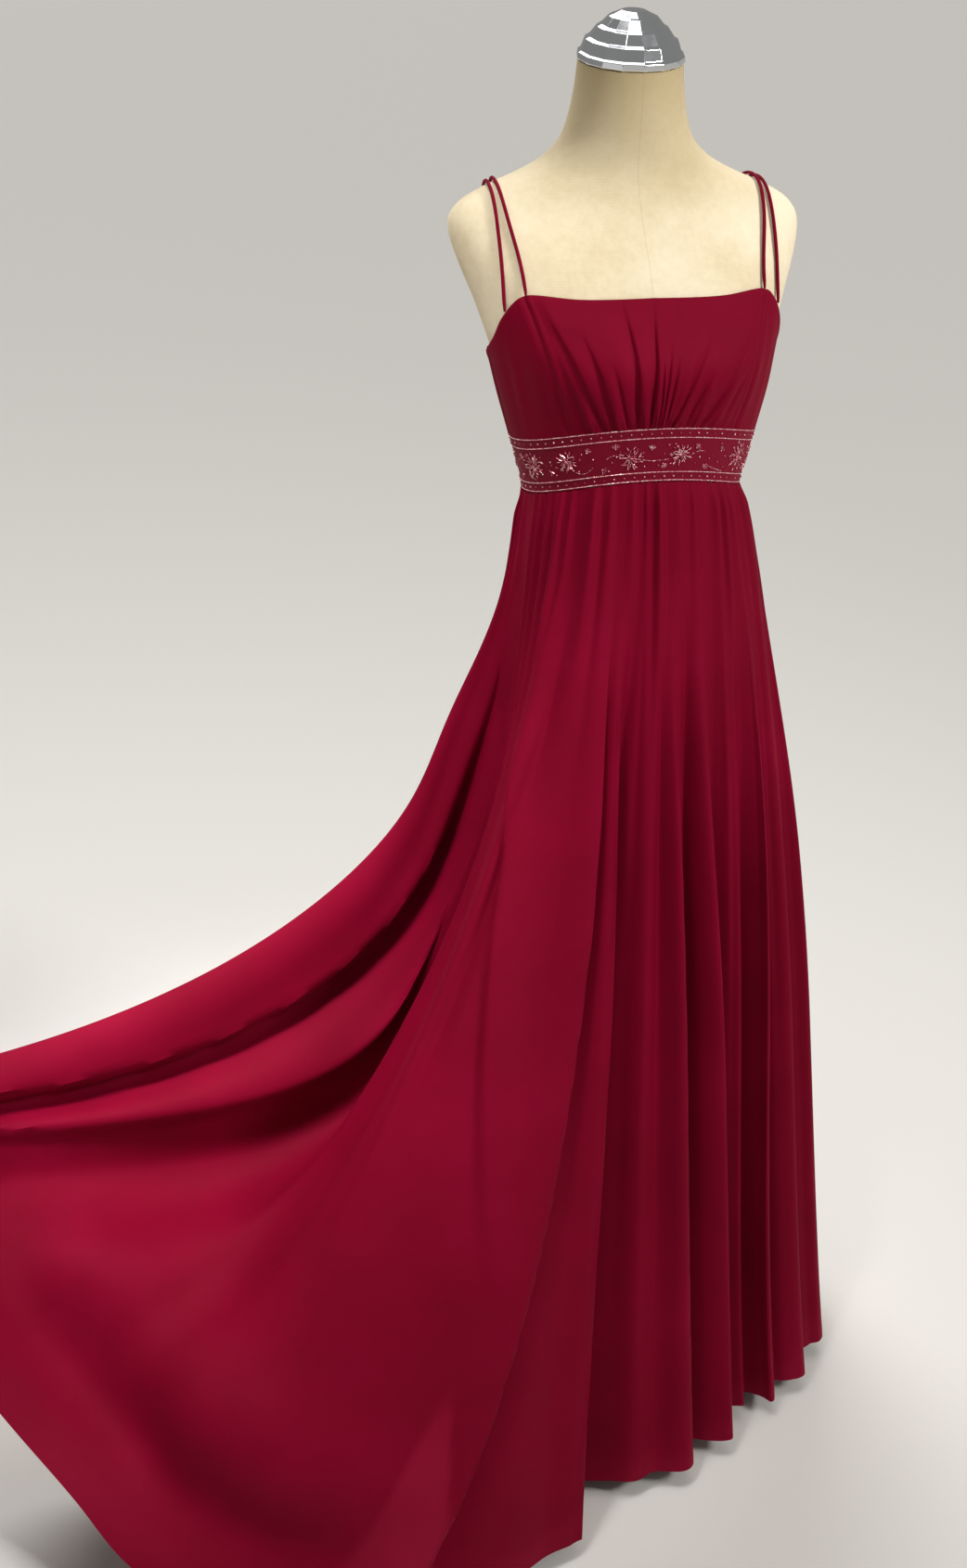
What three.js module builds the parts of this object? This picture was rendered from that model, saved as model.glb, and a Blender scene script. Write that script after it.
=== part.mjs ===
// Empire-line chiffon evening gown on a limbless dress form.
// Millimetres, +Z up. The front faces -Y and the gown's right side is -X.
// The origin is the centre of the base plate's underside.
// Cloth is a wall built on formulas: a place on the gown is a turn round the body, in degrees
// (-90 right side seam, 0 centre front, 90 left side seam, 180 centre back, 270 right side seam again),
// and either a height or, on the skirt, a share of the way from the waistband (0) to the hem (1).
import * as THREE from "three";
import { mergeVertices } from "three/addons/utils/BufferGeometryUtils.js";

// Driving dimensions
const CLOTH = 2; // wall of the gown's cloth, lining and seam turnings together
const SEAM = 0.3; // gap between pieces that are sewn together
const EASE = 2; // clear space between the form and the cloth's inside
const BAND_HEIGHT = 61;
const BAND_BOTTOM_FRONT = 1150; // the band dips from here to the side seams
const BAND_BOTTOM_SIDE = 1124;
const STRAP_WIDTH = 4.6;
const STRAP_CLEAR = 3.4; // strap's middle above the form
const PRINCESS_TOP = 47; // turn of the princess seams at the neckline
const PRINCESS_BOTTOM = 40; // and at the band
const BUST_HEIGHT = 1272;
const BASE_RADIUS = 150;
const BASE_THICK = 12;
const POLE_RADIUS = 14;
const FORM_BOTTOM = 790;
const NECK_TOP = 1575;
const NECK_TILT = 0.2; // slope of the neck's top, low at the front
const CAP_RADIUS = 57;

// The form's sections: height, half width, half depth, and how far the middle lies to the back
const FORM = [
  { z: 790, wide: 118, deep: 84, back: 2 },
  { z: 806, wide: 138, deep: 99, back: 2 },
  { z: 850, wide: 150, deep: 106, back: 0 },
  { z: 930, wide: 146, deep: 102, back: -4 },
  { z: 1010, wide: 128, deep: 90, back: -11 },
  { z: 1070, wide: 113, deep: 83, back: -16 },
  { z: 1125, wide: 116, deep: 87, back: -19 },
  { z: 1185, wide: 131, deep: 98, back: -20 },
  { z: 1235, wide: 144, deep: 104, back: -18 },
  { z: 1280, wide: 155, deep: 106, back: -11 },
  { z: 1325, wide: 169, deep: 103, back: 1 },
  { z: 1365, wide: 184, deep: 95, back: 14 },
  { z: 1396, wide: 193, deep: 85, back: 26 },
  { z: 1414, wide: 192, deep: 78, back: 32 },
  { z: 1430, wide: 179, deep: 71, back: 35 },
  { z: 1445, wide: 152, deep: 65, back: 36 },
  { z: 1459, wide: 119, deep: 60, back: 35 },
  { z: 1474, wide: 92, deep: 57, back: 32 },
  { z: 1492, wide: 74, deep: 57, back: 29 },
  { z: 1514, wide: 65, deep: 57, back: 25 },
  { z: 1545, wide: 59, deep: 56, back: 20 },
  { z: 1575, wide: 56, deep: 55, back: 16 },
];

// The top edge of the bodice, by turn from the centre front
const NECKLINE = [
  { turn: 0, z: 1341 },
  { turn: 25, z: 1340 },
  { turn: 44, z: 1343 },
  { turn: 51, z: 1337 },
  { turn: 62, z: 1318 },
  { turn: 75, z: 1294 },
  { turn: 90, z: 1279 },
  { turn: 112, z: 1268 },
  { turn: 145, z: 1266 },
  { turn: 180, z: 1268 },
];

// Hang lines of the skirt: each leaves the band at a turn and ends at x, y, z on the hem. It starts
// down by `drop` and out by `out`, and reaches the hem from `back` towards the body and `up` above it.
const HANG = [
  { turn: -90, x: -918, y: -80, z: 492, out: 26, drop: 345, back: 575, up: 40 },
  { turn: -86.5, x: -915, y: -112, z: 476, out: 34, drop: 400, back: 600, up: -66 },
  { turn: -83, x: -902, y: -150, z: 452, out: 40, drop: 480, back: 640, up: -96 },
  { turn: -79, x: -875, y: -190, z: 418, out: 44, drop: 560, back: 620, up: -112 },
  { turn: -75, x: -835, y: -225, z: 370, out: 46, drop: 600, back: 540, up: -95 },
  { turn: -69, x: -735, y: -290, z: 255, out: 46, drop: 604, back: 410, up: 45 },
  { turn: -60, x: -655, y: -362, z: 182, out: 46, drop: 550, back: 293, up: 178 },
  { turn: -51, x: -597, y: -415, z: 130, out: 46, drop: 470, back: 232, up: 250 },
  { turn: -42, x: -500, y: -448, z: 64, out: 45, drop: 385, back: 147, up: 336 },
  { turn: -33, x: -385, y: -452, z: 32, out: 44, drop: 345, back: 100, up: 350 },
  { turn: -24, x: -270, y: -420, z: 24, out: 42, drop: 310, back: 72, up: 350 },
  { turn: -16, x: -178, y: -372, z: 24, out: 40, drop: 290, back: 56, up: 340 },
  { turn: -9, x: -118, y: -312, z: 24, out: 38, drop: 275, back: 48, up: 330 },
  { turn: -3, x: -72, y: -268, z: 24, out: 36, drop: 265, back: 42, up: 330 },
  { turn: 4, x: -25, y: -258, z: 24, out: 36, drop: 260, back: 40, up: 330 },
  { turn: 14, x: 38, y: -236, z: 24, out: 38, drop: 255, back: 38, up: 330 },
  { turn: 24, x: 78, y: -203, z: 24, out: 42, drop: 250, back: 36, up: 330 },
  { turn: 34, x: 102, y: -173, z: 24, out: 48, drop: 245, back: 34, up: 330 },
  { turn: 45, x: 135, y: -156, z: 24, out: 58, drop: 245, back: 34, up: 330 },
  { turn: 58, x: 182, y: -143, z: 24, out: 66, drop: 245, back: 34, up: 330 },
  { turn: 72, x: 222, y: -100, z: 24, out: 72, drop: 245, back: 34, up: 330 },
  { turn: 90, x: 258, y: -2, z: 24, out: 76, drop: 245, back: 36, up: 330 },
  { turn: 116, x: 250, y: 120, z: 24, out: 68, drop: 250, back: 38, up: 330 },
  { turn: 142, x: 165, y: 225, z: 24, out: 54, drop: 260, back: 42, up: 330 },
  { turn: 166, x: 50, y: 272, z: 24, out: 44, drop: 270, back: 46, up: 330 },
  { turn: 186, x: -70, y: 268, z: 24, out: 42, drop: 280, back: 50, up: 330 },
  { turn: 203, x: -190, y: 225, z: 24, out: 42, drop: 300, back: 60, up: 340 },
  { turn: 218, x: -310, y: 140, z: 24, out: 44, drop: 330, back: 90, up: 330 },
  { turn: 230, x: -430, y: 40, z: 26, out: 46, drop: 380, back: 130, up: 290 },
  { turn: 240, x: -560, y: -60, z: 45, out: 46, drop: 450, back: 190, up: 220 },
  { turn: 248, x: -670, y: -110, z: 95, out: 46, drop: 520, back: 290, up: 120 },
  { turn: 255, x: -745, y: -105, z: 170, out: 44, drop: 560, back: 420, up: 10 },
  { turn: 260, x: -815, y: -70, z: 290, out: 42, drop: 560, back: 520, up: -60 },
  { turn: 264, x: -875, y: -50, z: 400, out: 38, drop: 500, back: 600, up: -90 },
  { turn: 267, x: -908, y: -56, z: 462, out: 32, drop: 410, back: 600, up: -50 },
];

// Large folds: where each lies at the band and at the hem, how far it stands out at its strongest,
// its half width in degrees, the share of the way down where it begins and, if it ends above the
// hem, the share by which it has faded
const FOLDS = [
  { turn: -88.3, hem: -88.3, out: 7, wide: 1.1, from: 0.16 },
  { turn: -82, hem: -87.6, out: -15, wide: 1.3, from: 0.14 },
  { turn: -77.5, hem: -86, out: 17, wide: 1.7, from: 0.14 },
  { turn: -65, hem: -82.6, out: -22, wide: 2.4, from: 0.12 },
  { turn: -57, hem: -75, out: 15, wide: 3.4, from: 0.14 },
  { turn: -48, hem: -66, out: -8, wide: 4, from: 0.2 },
  { turn: -36, hem: -46, out: -12, wide: 3.2, from: 0.1, fade: 0.62 },
  { turn: -43, hem: -34, out: 10, wide: 4, from: 0.1, fade: 0.62 },
  { turn: -20, hem: -24, out: 26, wide: 3.8, from: 0.12 },
  { turn: -14.5, hem: -11.5, out: 20, wide: 2.1, from: 0.12 },
  { turn: -8.5, hem: -6.6, out: -48, wide: 2.7, from: 0.12 },
  { turn: -1, hem: 1.5, out: 12, wide: 3, from: 0.15 },
  { turn: 6.5, hem: 9.5, out: 20, wide: 3.2, from: 0.12 },
  { turn: 13.5, hem: 16, out: -26, wide: 2.2, from: 0.12 },
  { turn: 19, hem: 22, out: 26, wide: 3, from: 0.15 },
  { turn: 27, hem: 31, out: -20, wide: 3, from: 0.12 },
  { turn: 37, hem: 39, out: 12, wide: 3, from: 0.15 },
  { turn: 43, hem: 43, out: -12, wide: 2.6, from: 0.15 },
  { turn: 49, hem: 50, out: 18, wide: 3, from: 0.12 },
  { turn: 55, hem: 56, out: -12, wide: 2.4, from: 0.12 },
  { turn: 62, hem: 64, out: 12, wide: 3.4, from: 0.12 },
  { turn: 69, hem: 72, out: -12, wide: 2.6, from: 0.15 },
  { turn: 76, hem: 80, out: 16, wide: 3.6, from: 0.15 },
  { turn: 88, hem: 91, out: -16, wide: 3.6, from: 0.2 },
  { turn: 99, hem: 100, out: 20, wide: 4.4, from: 0.15 },
  { turn: 110, hem: 110, out: -22, wide: 3.6, from: 0.15 },
  { turn: 121, hem: 121, out: 24, wide: 4.4, from: 0.15 },
  { turn: 133, hem: 132, out: -22, wide: 3.8, from: 0.15 },
  { turn: 145, hem: 144, out: 22, wide: 4.4, from: 0.15 },
  { turn: 156, hem: 155, out: -20, wide: 3.6, from: 0.15 },
  { turn: 167, hem: 167, out: 24, wide: 4.2, from: 0.15 },
  { turn: 178, hem: 178, out: -22, wide: 3.8, from: 0.15 },
  { turn: 190, hem: 190, out: 24, wide: 4.4, from: 0.15 },
  { turn: 202, hem: 203, out: -24, wide: 3.8, from: 0.15 },
  { turn: 214, hem: 215, out: 22, wide: 4.4, from: 0.15 },
  { turn: 226, hem: 226, out: -18, wide: 3.8, from: 0.15 },
  { turn: 236, hem: 236, out: 16, wide: 3.6, from: 0.15 },
  { turn: 245, hem: 245, out: -16, wide: 3, from: 0.15 },
  { turn: 252, hem: 252, out: 14, wide: 2.6, from: 0.15 },
  { turn: 258, hem: 258, out: -12, wide: 2, from: 0.15 },
  { turn: 262.6, hem: 262.6, out: 12, wide: 1.6, from: 0.16 },
  { turn: 266, hem: 266, out: -8, wide: 1.2, from: 0.16 },
  { turn: 268.3, hem: 268.3, out: 7, wide: 1.1, from: 0.16 },
];
const GATHERS_ROUND = 42; // small gathers of the skirt, all round the band
const GATHER_OUT = 5.5;
const BODICE_GATHERS = 9; // gathers of the centre front, drawn together at the middle of the band
const BODICE_GATHER_OUT = 4.2;
const BODICE_FAN = 0.6; // how much closer together they stand at the band than at the neckline

const group = new THREE.Group();
const RAD = Math.PI / 180;
const gauss = (value, middle, spread) => Math.exp(-(((value - middle) / spread) ** 2));
const ramp = (from, to, value) => {
  const t = THREE.MathUtils.clamp((value - from) / (to - from), 0, 1);
  return t * t * (3 - 2 * t);
};

const wrapped = (turn) => ((turn + 540) % 360) - 180; // the same turn, from -180 to 180

// A column of a table as a smooth curve through its rows, which stand in the order of `by`.
function along(rows, by, column, at) {
  const last = rows.length - 1;
  let i = 0;
  while (i < last - 1 && at > rows[i + 1][by]) i += 1;
  const slope = (k) => {
    const a = rows[Math.max(k - 1, 0)];
    const b = rows[Math.min(k + 1, last)];
    return (b[column] - a[column]) / (b[by] - a[by]);
  };
  const [low, high] = [rows[i], rows[i + 1]];
  const gap = high[by] - low[by];
  const t = THREE.MathUtils.clamp((at - low[by]) / gap, 0, 1);
  return (
    low[column] * (1 - t) ** 2 * (1 + 2 * t) +
    slope(i) * gap * t * (1 - t) ** 2 +
    high[column] * t * t * (3 - 2 * t) -
    slope(i + 1) * gap * t * t * (1 - t)
  );
}

// A point round the form at a height, moved out by `off`. The bust is two soft mounds on the form,
// and `bridged` cloth lies across them from one to the other.
function bodyPoint(turn, z, off, bridged) {
  const t = turn * RAD;
  const side = Math.abs(wrapped(turn));
  const mound = gauss(side, 37, 21);
  const bust = (bridged ? Math.max(mound, 1 - ramp(37, 75, side)) : mound) * gauss(z, BUST_HEIGHT, 46);
  const wide = along(FORM, "z", "wide", z) + off + 3 * bust;
  const deep = along(FORM, "z", "deep", z) + off + 20 * bust;
  return new THREE.Vector3(wide * Math.sin(t), along(FORM, "z", "back", z) - deep * Math.cos(t), z);
}

const bandBottom = (turn) => {
  const drop = (BAND_BOTTOM_FRONT - BAND_BOTTOM_SIDE) / 2;
  const isFront = Math.abs(wrapped(turn)) < 90;
  return BAND_BOTTOM_FRONT - drop + drop * (isFront ? Math.cos(2 * turn * RAD) : -1);
};
const neckline = (turn) => along(NECKLINE, "turn", "z", Math.abs(wrapped(turn)));
const princess = (t) => THREE.MathUtils.lerp(PRINCESS_BOTTOM, PRINCESS_TOP, t ** 0.8);

// The middle of the bodice's cloth: t runs from the band (0) to the neckline (1).
function bodice(turn, t) {
  const low = bandBottom(turn) + BAND_HEIGHT + SEAM;
  const z = THREE.MathUtils.lerp(low, neckline(turn), t);
  return bodyPoint(turn, z, EASE + CLOTH / 2 + 1, true);
}

// The gathered centre front: gathers are deep at the band and fan out as they fade upwards.
function gatheredFront(u, t) {
  const share = Math.sign(u) * Math.abs(u) ** (1 + BODICE_FAN * (1 - t));
  const turn = share * princess(t);
  const fade = (1 - ramp(0.2, 1.1, t)) * (1 - ramp(0.7, 1, Math.abs(u)));
  const wave = (1 - Math.cos(u * Math.PI * BODICE_GATHERS)) / 2;
  const point = bodice(turn, t);
  const out = new THREE.Vector3(Math.sin(turn * RAD), -Math.cos(turn * RAD), 0);
  return point.addScaledVector(out, BODICE_GATHER_OUT * wave * fade);
}

// The hang table closed round the lifted seam, so that its curves have no break there.
const HANG_ROUND = [
  ...HANG.slice(-2).map((row) => ({ ...row, turn: row.turn - 360 })),
  ...HANG,
  ...HANG.slice(0, 3).map((row) => ({ ...row, turn: row.turn + 360 })),
];

// The skirt before its folds: each hang line is a cubic Bezier curve from the band to the hem.
function hangPoint(turn, s) {
  const row = (column) => along(HANG_ROUND, "turn", column, turn);
  const top = bodyPoint(turn, bandBottom(turn) - SEAM - CLOTH / 4, EASE + CLOTH / 2 + 0.5, true);
  const hem = new THREE.Vector3(row("x"), row("y"), row("z"));
  const out = new THREE.Vector3(Math.sin(turn * RAD), -Math.cos(turn * RAD), 0);
  const inward = top.clone().sub(hem).setZ(0).normalize();
  const first = top.clone().addScaledVector(out, row("out"));
  first.z -= row("drop");
  const second = hem.clone().addScaledVector(inward, row("back"));
  second.z += row("up");
  return new THREE.CubicBezierCurve3(top, first, second, hem).getPoint(s);
}

function across(surface, u, v, du, dv) {
  const right = surface(u + du, v).sub(surface(u - du, v));
  const down = surface(u, Math.min(v + dv, 1)).sub(surface(u, Math.max(v - dv, 0)));
  return down.cross(right).normalize();
}

// How far the skirt's folds stand out of its hang lines at a place.
function foldOut(turn, s) {
  let out = 0;
  for (const fold of FOLDS) {
    const middle = THREE.MathUtils.lerp(fold.turn, fold.hem, s);
    const strength = fold.fade
      ? ramp(fold.from, 0.35, s) * (1 - ramp(0.4, fold.fade, s))
      : ramp(fold.from, 0.75, s);
    out += fold.out * strength * gauss(wrapped(turn - middle), 0, fold.wide);
  }
  const lifted = gauss(wrapped(turn + 90), 0, 26);
  const gather = (1 - Math.cos((turn / 360) * GATHERS_ROUND * 2 * Math.PI)) / 2;
  const fade = 1 - ramp(0.02, 0.45, s);
  return out * (1 - 0.55 * lifted * ramp(0.7, 1, s)) + GATHER_OUT * gather * fade;
}

// Cloth that would sink into the form lies over it instead, further off at the hips.
const HIP_CLEAR = 4;
function overForm(point) {
  if (point.z < FORM_BOTTOM - 20) return point;
  const off = EASE + CLOTH / 2 + 0.5 + HIP_CLEAR * ramp(1110, 1010, point.z);
  const back = along(FORM, "z", "back", point.z);
  const inX = point.x / (along(FORM, "z", "wide", point.z) + off);
  const inY = (point.y - back) / (along(FORM, "z", "deep", point.z) + off);
  const share = Math.min(1, Math.hypot(inX, inY));
  return point.set(point.x / share, back + (point.y - back) / share, point.z);
}

function skirt(turn, s) {
  const normal = across(hangPoint, turn, s, 1.2, 0.01);
  normal.z *= ramp(0, 0.08, s);
  return overForm(hangPoint(turn, s).addScaledVector(normal, foldOut(turn, s)));
}

function material(color, roughness, metalness = 0) {
  return new THREE.MeshStandardMaterial({ color, roughness, metalness });
}
const chiffon = material("#8f0e2c", 0.75);
const bandCloth = material("#70001c", 0.7);
const formCloth = material("#e6d7b8", 0.85);
const chrome = material("#d5d7da", 0.12, 1);
const steel = material("#b9bbbe", 0.3, 1);

function add(name, geometry, finish) {
  const mesh = new THREE.Mesh(geometry, finish);
  mesh.name = name;
  group.add(mesh);
  return mesh;
}

function closedMesh(points, faces) {
  const geometry = new THREE.BufferGeometry();
  const coordinates = points.flatMap((p) => p.toArray());
  geometry.setAttribute("position", new THREE.Float32BufferAttribute(coordinates, 3));
  geometry.setIndex(faces.flat());
  geometry.computeVertexNormals();
  return geometry;
}

// A wall of cloth over a grid: `surface` gives its middle, and `us` and `vs` are the grid's lines.
function wall(surface, us, vs, thick, du = 0.02, dv = 0.004) {
  const points = [];
  for (const side of [1, -1]) {
    for (const v of vs) {
      for (const u of us) {
        const normal = across(surface, u, v, du, dv);
        points.push(surface(u, v).addScaledVector(normal, (side * thick) / 2));
      }
    }
  }
  const [columns, rows] = [us.length, vs.length];
  const at = (side, j, i) => (side * rows + j) * columns + i;
  const faces = [];
  const quad = (a, b, c, d) => faces.push([a, b, c], [a, c, d]);
  for (let j = 0; j < rows - 1; j += 1) {
    for (let i = 0; i < columns - 1; i += 1) {
      quad(at(0, j, i), at(0, j + 1, i), at(0, j + 1, i + 1), at(0, j, i + 1));
      quad(at(1, j, i), at(1, j, i + 1), at(1, j + 1, i + 1), at(1, j + 1, i));
    }
    quad(at(1, j, 0), at(1, j + 1, 0), at(0, j + 1, 0), at(0, j, 0));
    const end = columns - 1;
    quad(at(0, j, end), at(0, j + 1, end), at(1, j + 1, end), at(1, j, end));
  }
  for (let i = 0; i < columns - 1; i += 1) {
    quad(at(1, 0, i), at(0, 0, i), at(0, 0, i + 1), at(1, 0, i + 1));
    const end = rows - 1;
    quad(at(0, end, i), at(1, end, i), at(1, end, i + 1), at(0, end, i + 1));
  }
  return closedMesh(points, faces);
}

const steps = (from, to, count) =>
  Array.from({ length: count + 1 }, (_, i) => from + ((to - from) * i) / count);

// Bodice. Grid rows run down, from the neckline (v = 0) to the band (v = 1).
const BODICE_ROWS = steps(0, 1, 7);
const SEAM_TURN = 0.08; // half the seam's gap, as a turn
function bodicePanel(name, from, to, columns) {
  const surface = (u, v) => {
    const t = 1 - v;
    return bodice(THREE.MathUtils.lerp(from(t), to(t), u), t);
  };
  add(name, wall(surface, steps(0, 1, columns), BODICE_ROWS, CLOTH), chiffon);
}
const frontShare = 1 - SEAM_TURN / PRINCESS_BOTTOM;
const frontSurface = (u, v) => gatheredFront(u, 1 - v);
add(
  "bodice_center_front",
  wall(frontSurface, steps(-frontShare, frontShare, BODICE_GATHERS * 4), BODICE_ROWS, CLOTH, 0.001),
  chiffon,
);
const toPrincess = (t) => princess(t) + SEAM_TURN;
bodicePanel("bodice_side_front_left", toPrincess, () => 90 - SEAM_TURN, 6);
bodicePanel("bodice_side_front_right", () => -90 + SEAM_TURN, (t) => -toPrincess(t), 6);
bodicePanel("bodice_back_left", () => 90 + SEAM_TURN, () => 180 - SEAM_TURN, 12);
bodicePanel("bodice_back_right", () => 180 + SEAM_TURN, () => 270 - SEAM_TURN, 12);

// Waistband, inset between bodice and skirt
function band(name, from, to, columns) {
  const surface = (turn, v) =>
    bodyPoint(turn, bandBottom(turn) + BAND_HEIGHT * (1 - v), EASE + CLOTH / 2 + 1, true);
  add(name, wall(surface, steps(from, to, columns), steps(0, 1, 3), CLOTH), bandCloth);
}
band("waistband_front", -90 + SEAM_TURN, 90 - SEAM_TURN, 28);
band("waistband_back_left", 90 + SEAM_TURN, 180 - SEAM_TURN, 12);
band("waistband_back_right", 180 + SEAM_TURN, 270 - SEAM_TURN, 12);

// Skirt. The rows stand closer near the band, where the gathers are, and the columns are a fourth
// of a gather apart.
const SKIRT_SEAM = 0.07; // half the gap at the seams, as a turn
const SKIRT_ROWS = 14;
const skirtRows = (count) => steps(0, 1, count).map((v) => v ** 1.15);
const columnTurns = (from, to) => {
  const step = 360 / GATHERS_ROUND / 4;
  const inner = steps(from, to, Math.round((to - from) / step)).slice(1, -1);
  return [from + SKIRT_SEAM, ...inner, to - SKIRT_SEAM];
};
add("skirt_front", wall(skirt, columnTurns(-90, 90), skirtRows(SKIRT_ROWS), CLOTH), chiffon);
add("skirt_back_left", wall(skirt, columnTurns(90, 180), skirtRows(SKIRT_ROWS), CLOTH), chiffon);
add("skirt_back_right", wall(skirt, columnTurns(180, 270), skirtRows(SKIRT_ROWS), CLOTH), chiffon);

// How far the strap's middle runs from a point inside the shoulder, in a direction of the YZ plane
const SHOULDER_MIDDLE = { y: 15, z: 1340 };
function shoulderReach(x, angle) {
  const inside = (reach) => {
    const y = SHOULDER_MIDDLE.y + reach * Math.cos(angle);
    const z = SHOULDER_MIDDLE.z + reach * Math.sin(angle);
    const under = z - STRAP_CLEAR * ramp(1340, 1420, z);
    const inX = x / (along(FORM, "z", "wide", under) + STRAP_CLEAR);
    const deep = along(FORM, "z", "deep", under) + STRAP_CLEAR;
    const inY = (y - along(FORM, "z", "back", under)) / deep;
    return under < NECK_TOP && inX * inX + inY * inY < 1;
  };
  let [low, high] = [0, 220];
  for (let i = 0; i < 30; i += 1) {
    const reach = (low + high) / 2;
    if (inside(reach)) low = reach;
    else high = reach;
  }
  return low;
}

// A strap is pulled taut from the front neckline over the shoulder to the back neckline: the outer
// bounds of the points over the form, in the YZ plane, are the string's path.
// Its round ends stand just clear of the edge, which slopes at the armhole.
const STRAP_STEPS = 36;
const STRAP_SPANS = 16;
const STRAP_SIDES = 6;
function strap(name, frontTurn, backTurn, shoulderX) {
  const endAbove = (turn) => {
    const end = bodice(turn, 1);
    const [before, after] = [bodice(turn - 1, 1), bodice(turn + 1, 1)];
    const slope = (after.z - before.z) / before.distanceTo(after);
    end.z += 2 * SEAM + (STRAP_WIDTH / 2) * (Math.abs(slope) * 2 + 0.2);
    return end;
  };
  const [frontEnd, backEnd] = [endAbove(frontTurn), endAbove(backTurn)];
  const angleOf = (p) => Math.atan2(p.z - SHOULDER_MIDDLE.z, p.y - SHOULDER_MIDDLE.y);
  const [fromAngle, toAngle] = [(angleOf(frontEnd) + 2 * Math.PI) % (2 * Math.PI), angleOf(backEnd)];
  const over = steps(0, 1, STRAP_STEPS).map((t) => {
    const angle = THREE.MathUtils.lerp(fromAngle, toAngle, t);
    const toTop = ramp(0, 0.4, t);
    const x = t < 0.4
      ? THREE.MathUtils.lerp(frontEnd.x, shoulderX, toTop)
      : THREE.MathUtils.lerp(shoulderX, backEnd.x, ramp(0.4, 1, t));
    const reach = shoulderReach(x, angle);
    return new THREE.Vector3(
      x,
      SHOULDER_MIDDLE.y + reach * Math.cos(angle),
      SHOULDER_MIDDLE.z + reach * Math.sin(angle),
    );
  });
  const taut = [];
  for (const p of [frontEnd, ...over.slice(1, -1), backEnd]) {
    const sags = () => {
      const [a, b] = taut.slice(-2);
      return (b.y - a.y) * (p.z - a.z) - (b.z - a.z) * (p.y - a.y) >= 0;
    };
    while (taut.length > 1 && sags()) taut.pop();
    taut.push(p);
  }
  const string = new THREE.CatmullRomCurve3(taut, false, "centripetal");
  const route = new THREE.CatmullRomCurve3(string.getSpacedPoints(STRAP_SPANS));
  const section = new THREE.Shape();
  for (const corner of steps(0, 2 * Math.PI, STRAP_SIDES).slice(0, -1)) {
    const [x, y] = [(STRAP_WIDTH / 2) * Math.cos(corner), (STRAP_WIDTH / 2) * Math.sin(corner)];
    if (corner === 0) section.moveTo(x, y);
    else section.lineTo(x, y);
  }
  section.closePath();
  const options = { steps: STRAP_SPANS + 6, extrudePath: route, bevelEnabled: false };
  const geometry = new THREE.ExtrudeGeometry(section, options);
  geometry.deleteAttribute("uv");
  geometry.deleteAttribute("normal");
  add(name, mergeVertices(geometry, 1e-4), chiffon);
}
for (const [side, sign] of [["right", -1], ["left", 1]]) {
  strap(`strap_${side}_inner`, sign * 46, sign * 143, sign * 144);
  strap(`strap_${side}_outer`, sign * 60, sign * 131, sign * 151);
}

// The form: rings through its sections, closed at the bottom and at the tilted top of the neck
const FORM_COLUMNS = 36;
const FORM_ROWS = FORM.slice(0, -1).flatMap((row, i) => {
  const next = FORM[i + 1].z;
  return next - row.z > 50 ? [row.z, (row.z + next) / 2] : [row.z];
}).concat(NECK_TOP);
function formPoint(turn, z) {
  const point = bodyPoint(turn, z, 0, false);
  const tilt = NECK_TILT * ramp(1480, NECK_TOP, z);
  point.z += tilt * (point.y - along(FORM, "z", "back", z));
  return point;
}
{
  const points = FORM_ROWS.flatMap((z) =>
    steps(0, 360, FORM_COLUMNS).slice(0, -1).map((turn) => formPoint(turn, z)),
  );
  const faces = [];
  const at = (j, i) => j * FORM_COLUMNS + (i % FORM_COLUMNS);
  for (let j = 0; j < FORM_ROWS.length - 1; j += 1) {
    for (let i = 0; i < FORM_COLUMNS; i += 1) {
      faces.push([at(j, i), at(j, i + 1), at(j + 1, i + 1)]);
      faces.push([at(j, i), at(j + 1, i + 1), at(j + 1, i)]);
    }
  }
  const lowMiddle = points.push(new THREE.Vector3(0, FORM[0].back, FORM_BOTTOM)) - 1;
  const highMiddle = points.push(new THREE.Vector3(0, FORM.at(-1).back, NECK_TOP)) - 1;
  for (let i = 0; i < FORM_COLUMNS; i += 1) {
    faces.push([lowMiddle, at(0, i + 1), at(0, i)]);
    faces.push([highMiddle, at(FORM_ROWS.length - 1, i), at(FORM_ROWS.length - 1, i + 1)]);
  }
  add("form_torso", closedMesh(points, faces), formCloth);
}

// A turned piece: `profile` rows give radius and height, from the axis and back to it.
function turned(name, profile, segments, finish) {
  const outline = profile.map(([radius, z]) => new THREE.Vector2(radius, z));
  const geometry = new THREE.LatheGeometry(outline, segments);
  geometry.deleteAttribute("uv");
  geometry.deleteAttribute("normal");
  geometry.rotateX(Math.PI / 2);
  return add(name, mergeVertices(geometry, 1e-3), finish);
}

// Chrome cap: a rim and four faceted tiers, each set in from the one below
const CAP_FACETS = 16;
const cap = turned(
  "form_neck_cap",
  [
    [0, 0], [CAP_RADIUS - 1, 0], [CAP_RADIUS + 1, 2], [CAP_RADIUS, 8], [CAP_RADIUS - 3, 10],
    [CAP_RADIUS - 7, 22], [CAP_RADIUS - 11, 24], [CAP_RADIUS - 19, 35], [CAP_RADIUS - 23, 37],
    [CAP_RADIUS - 31, 46], [CAP_RADIUS - 35, 47.5], [CAP_RADIUS - 44, 52], [0, 53],
  ],
  CAP_FACETS,
  chrome,
);
cap.position.set(0, FORM.at(-1).back, NECK_TOP + SEAM);
cap.rotation.x = Math.atan(NECK_TILT);

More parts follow.
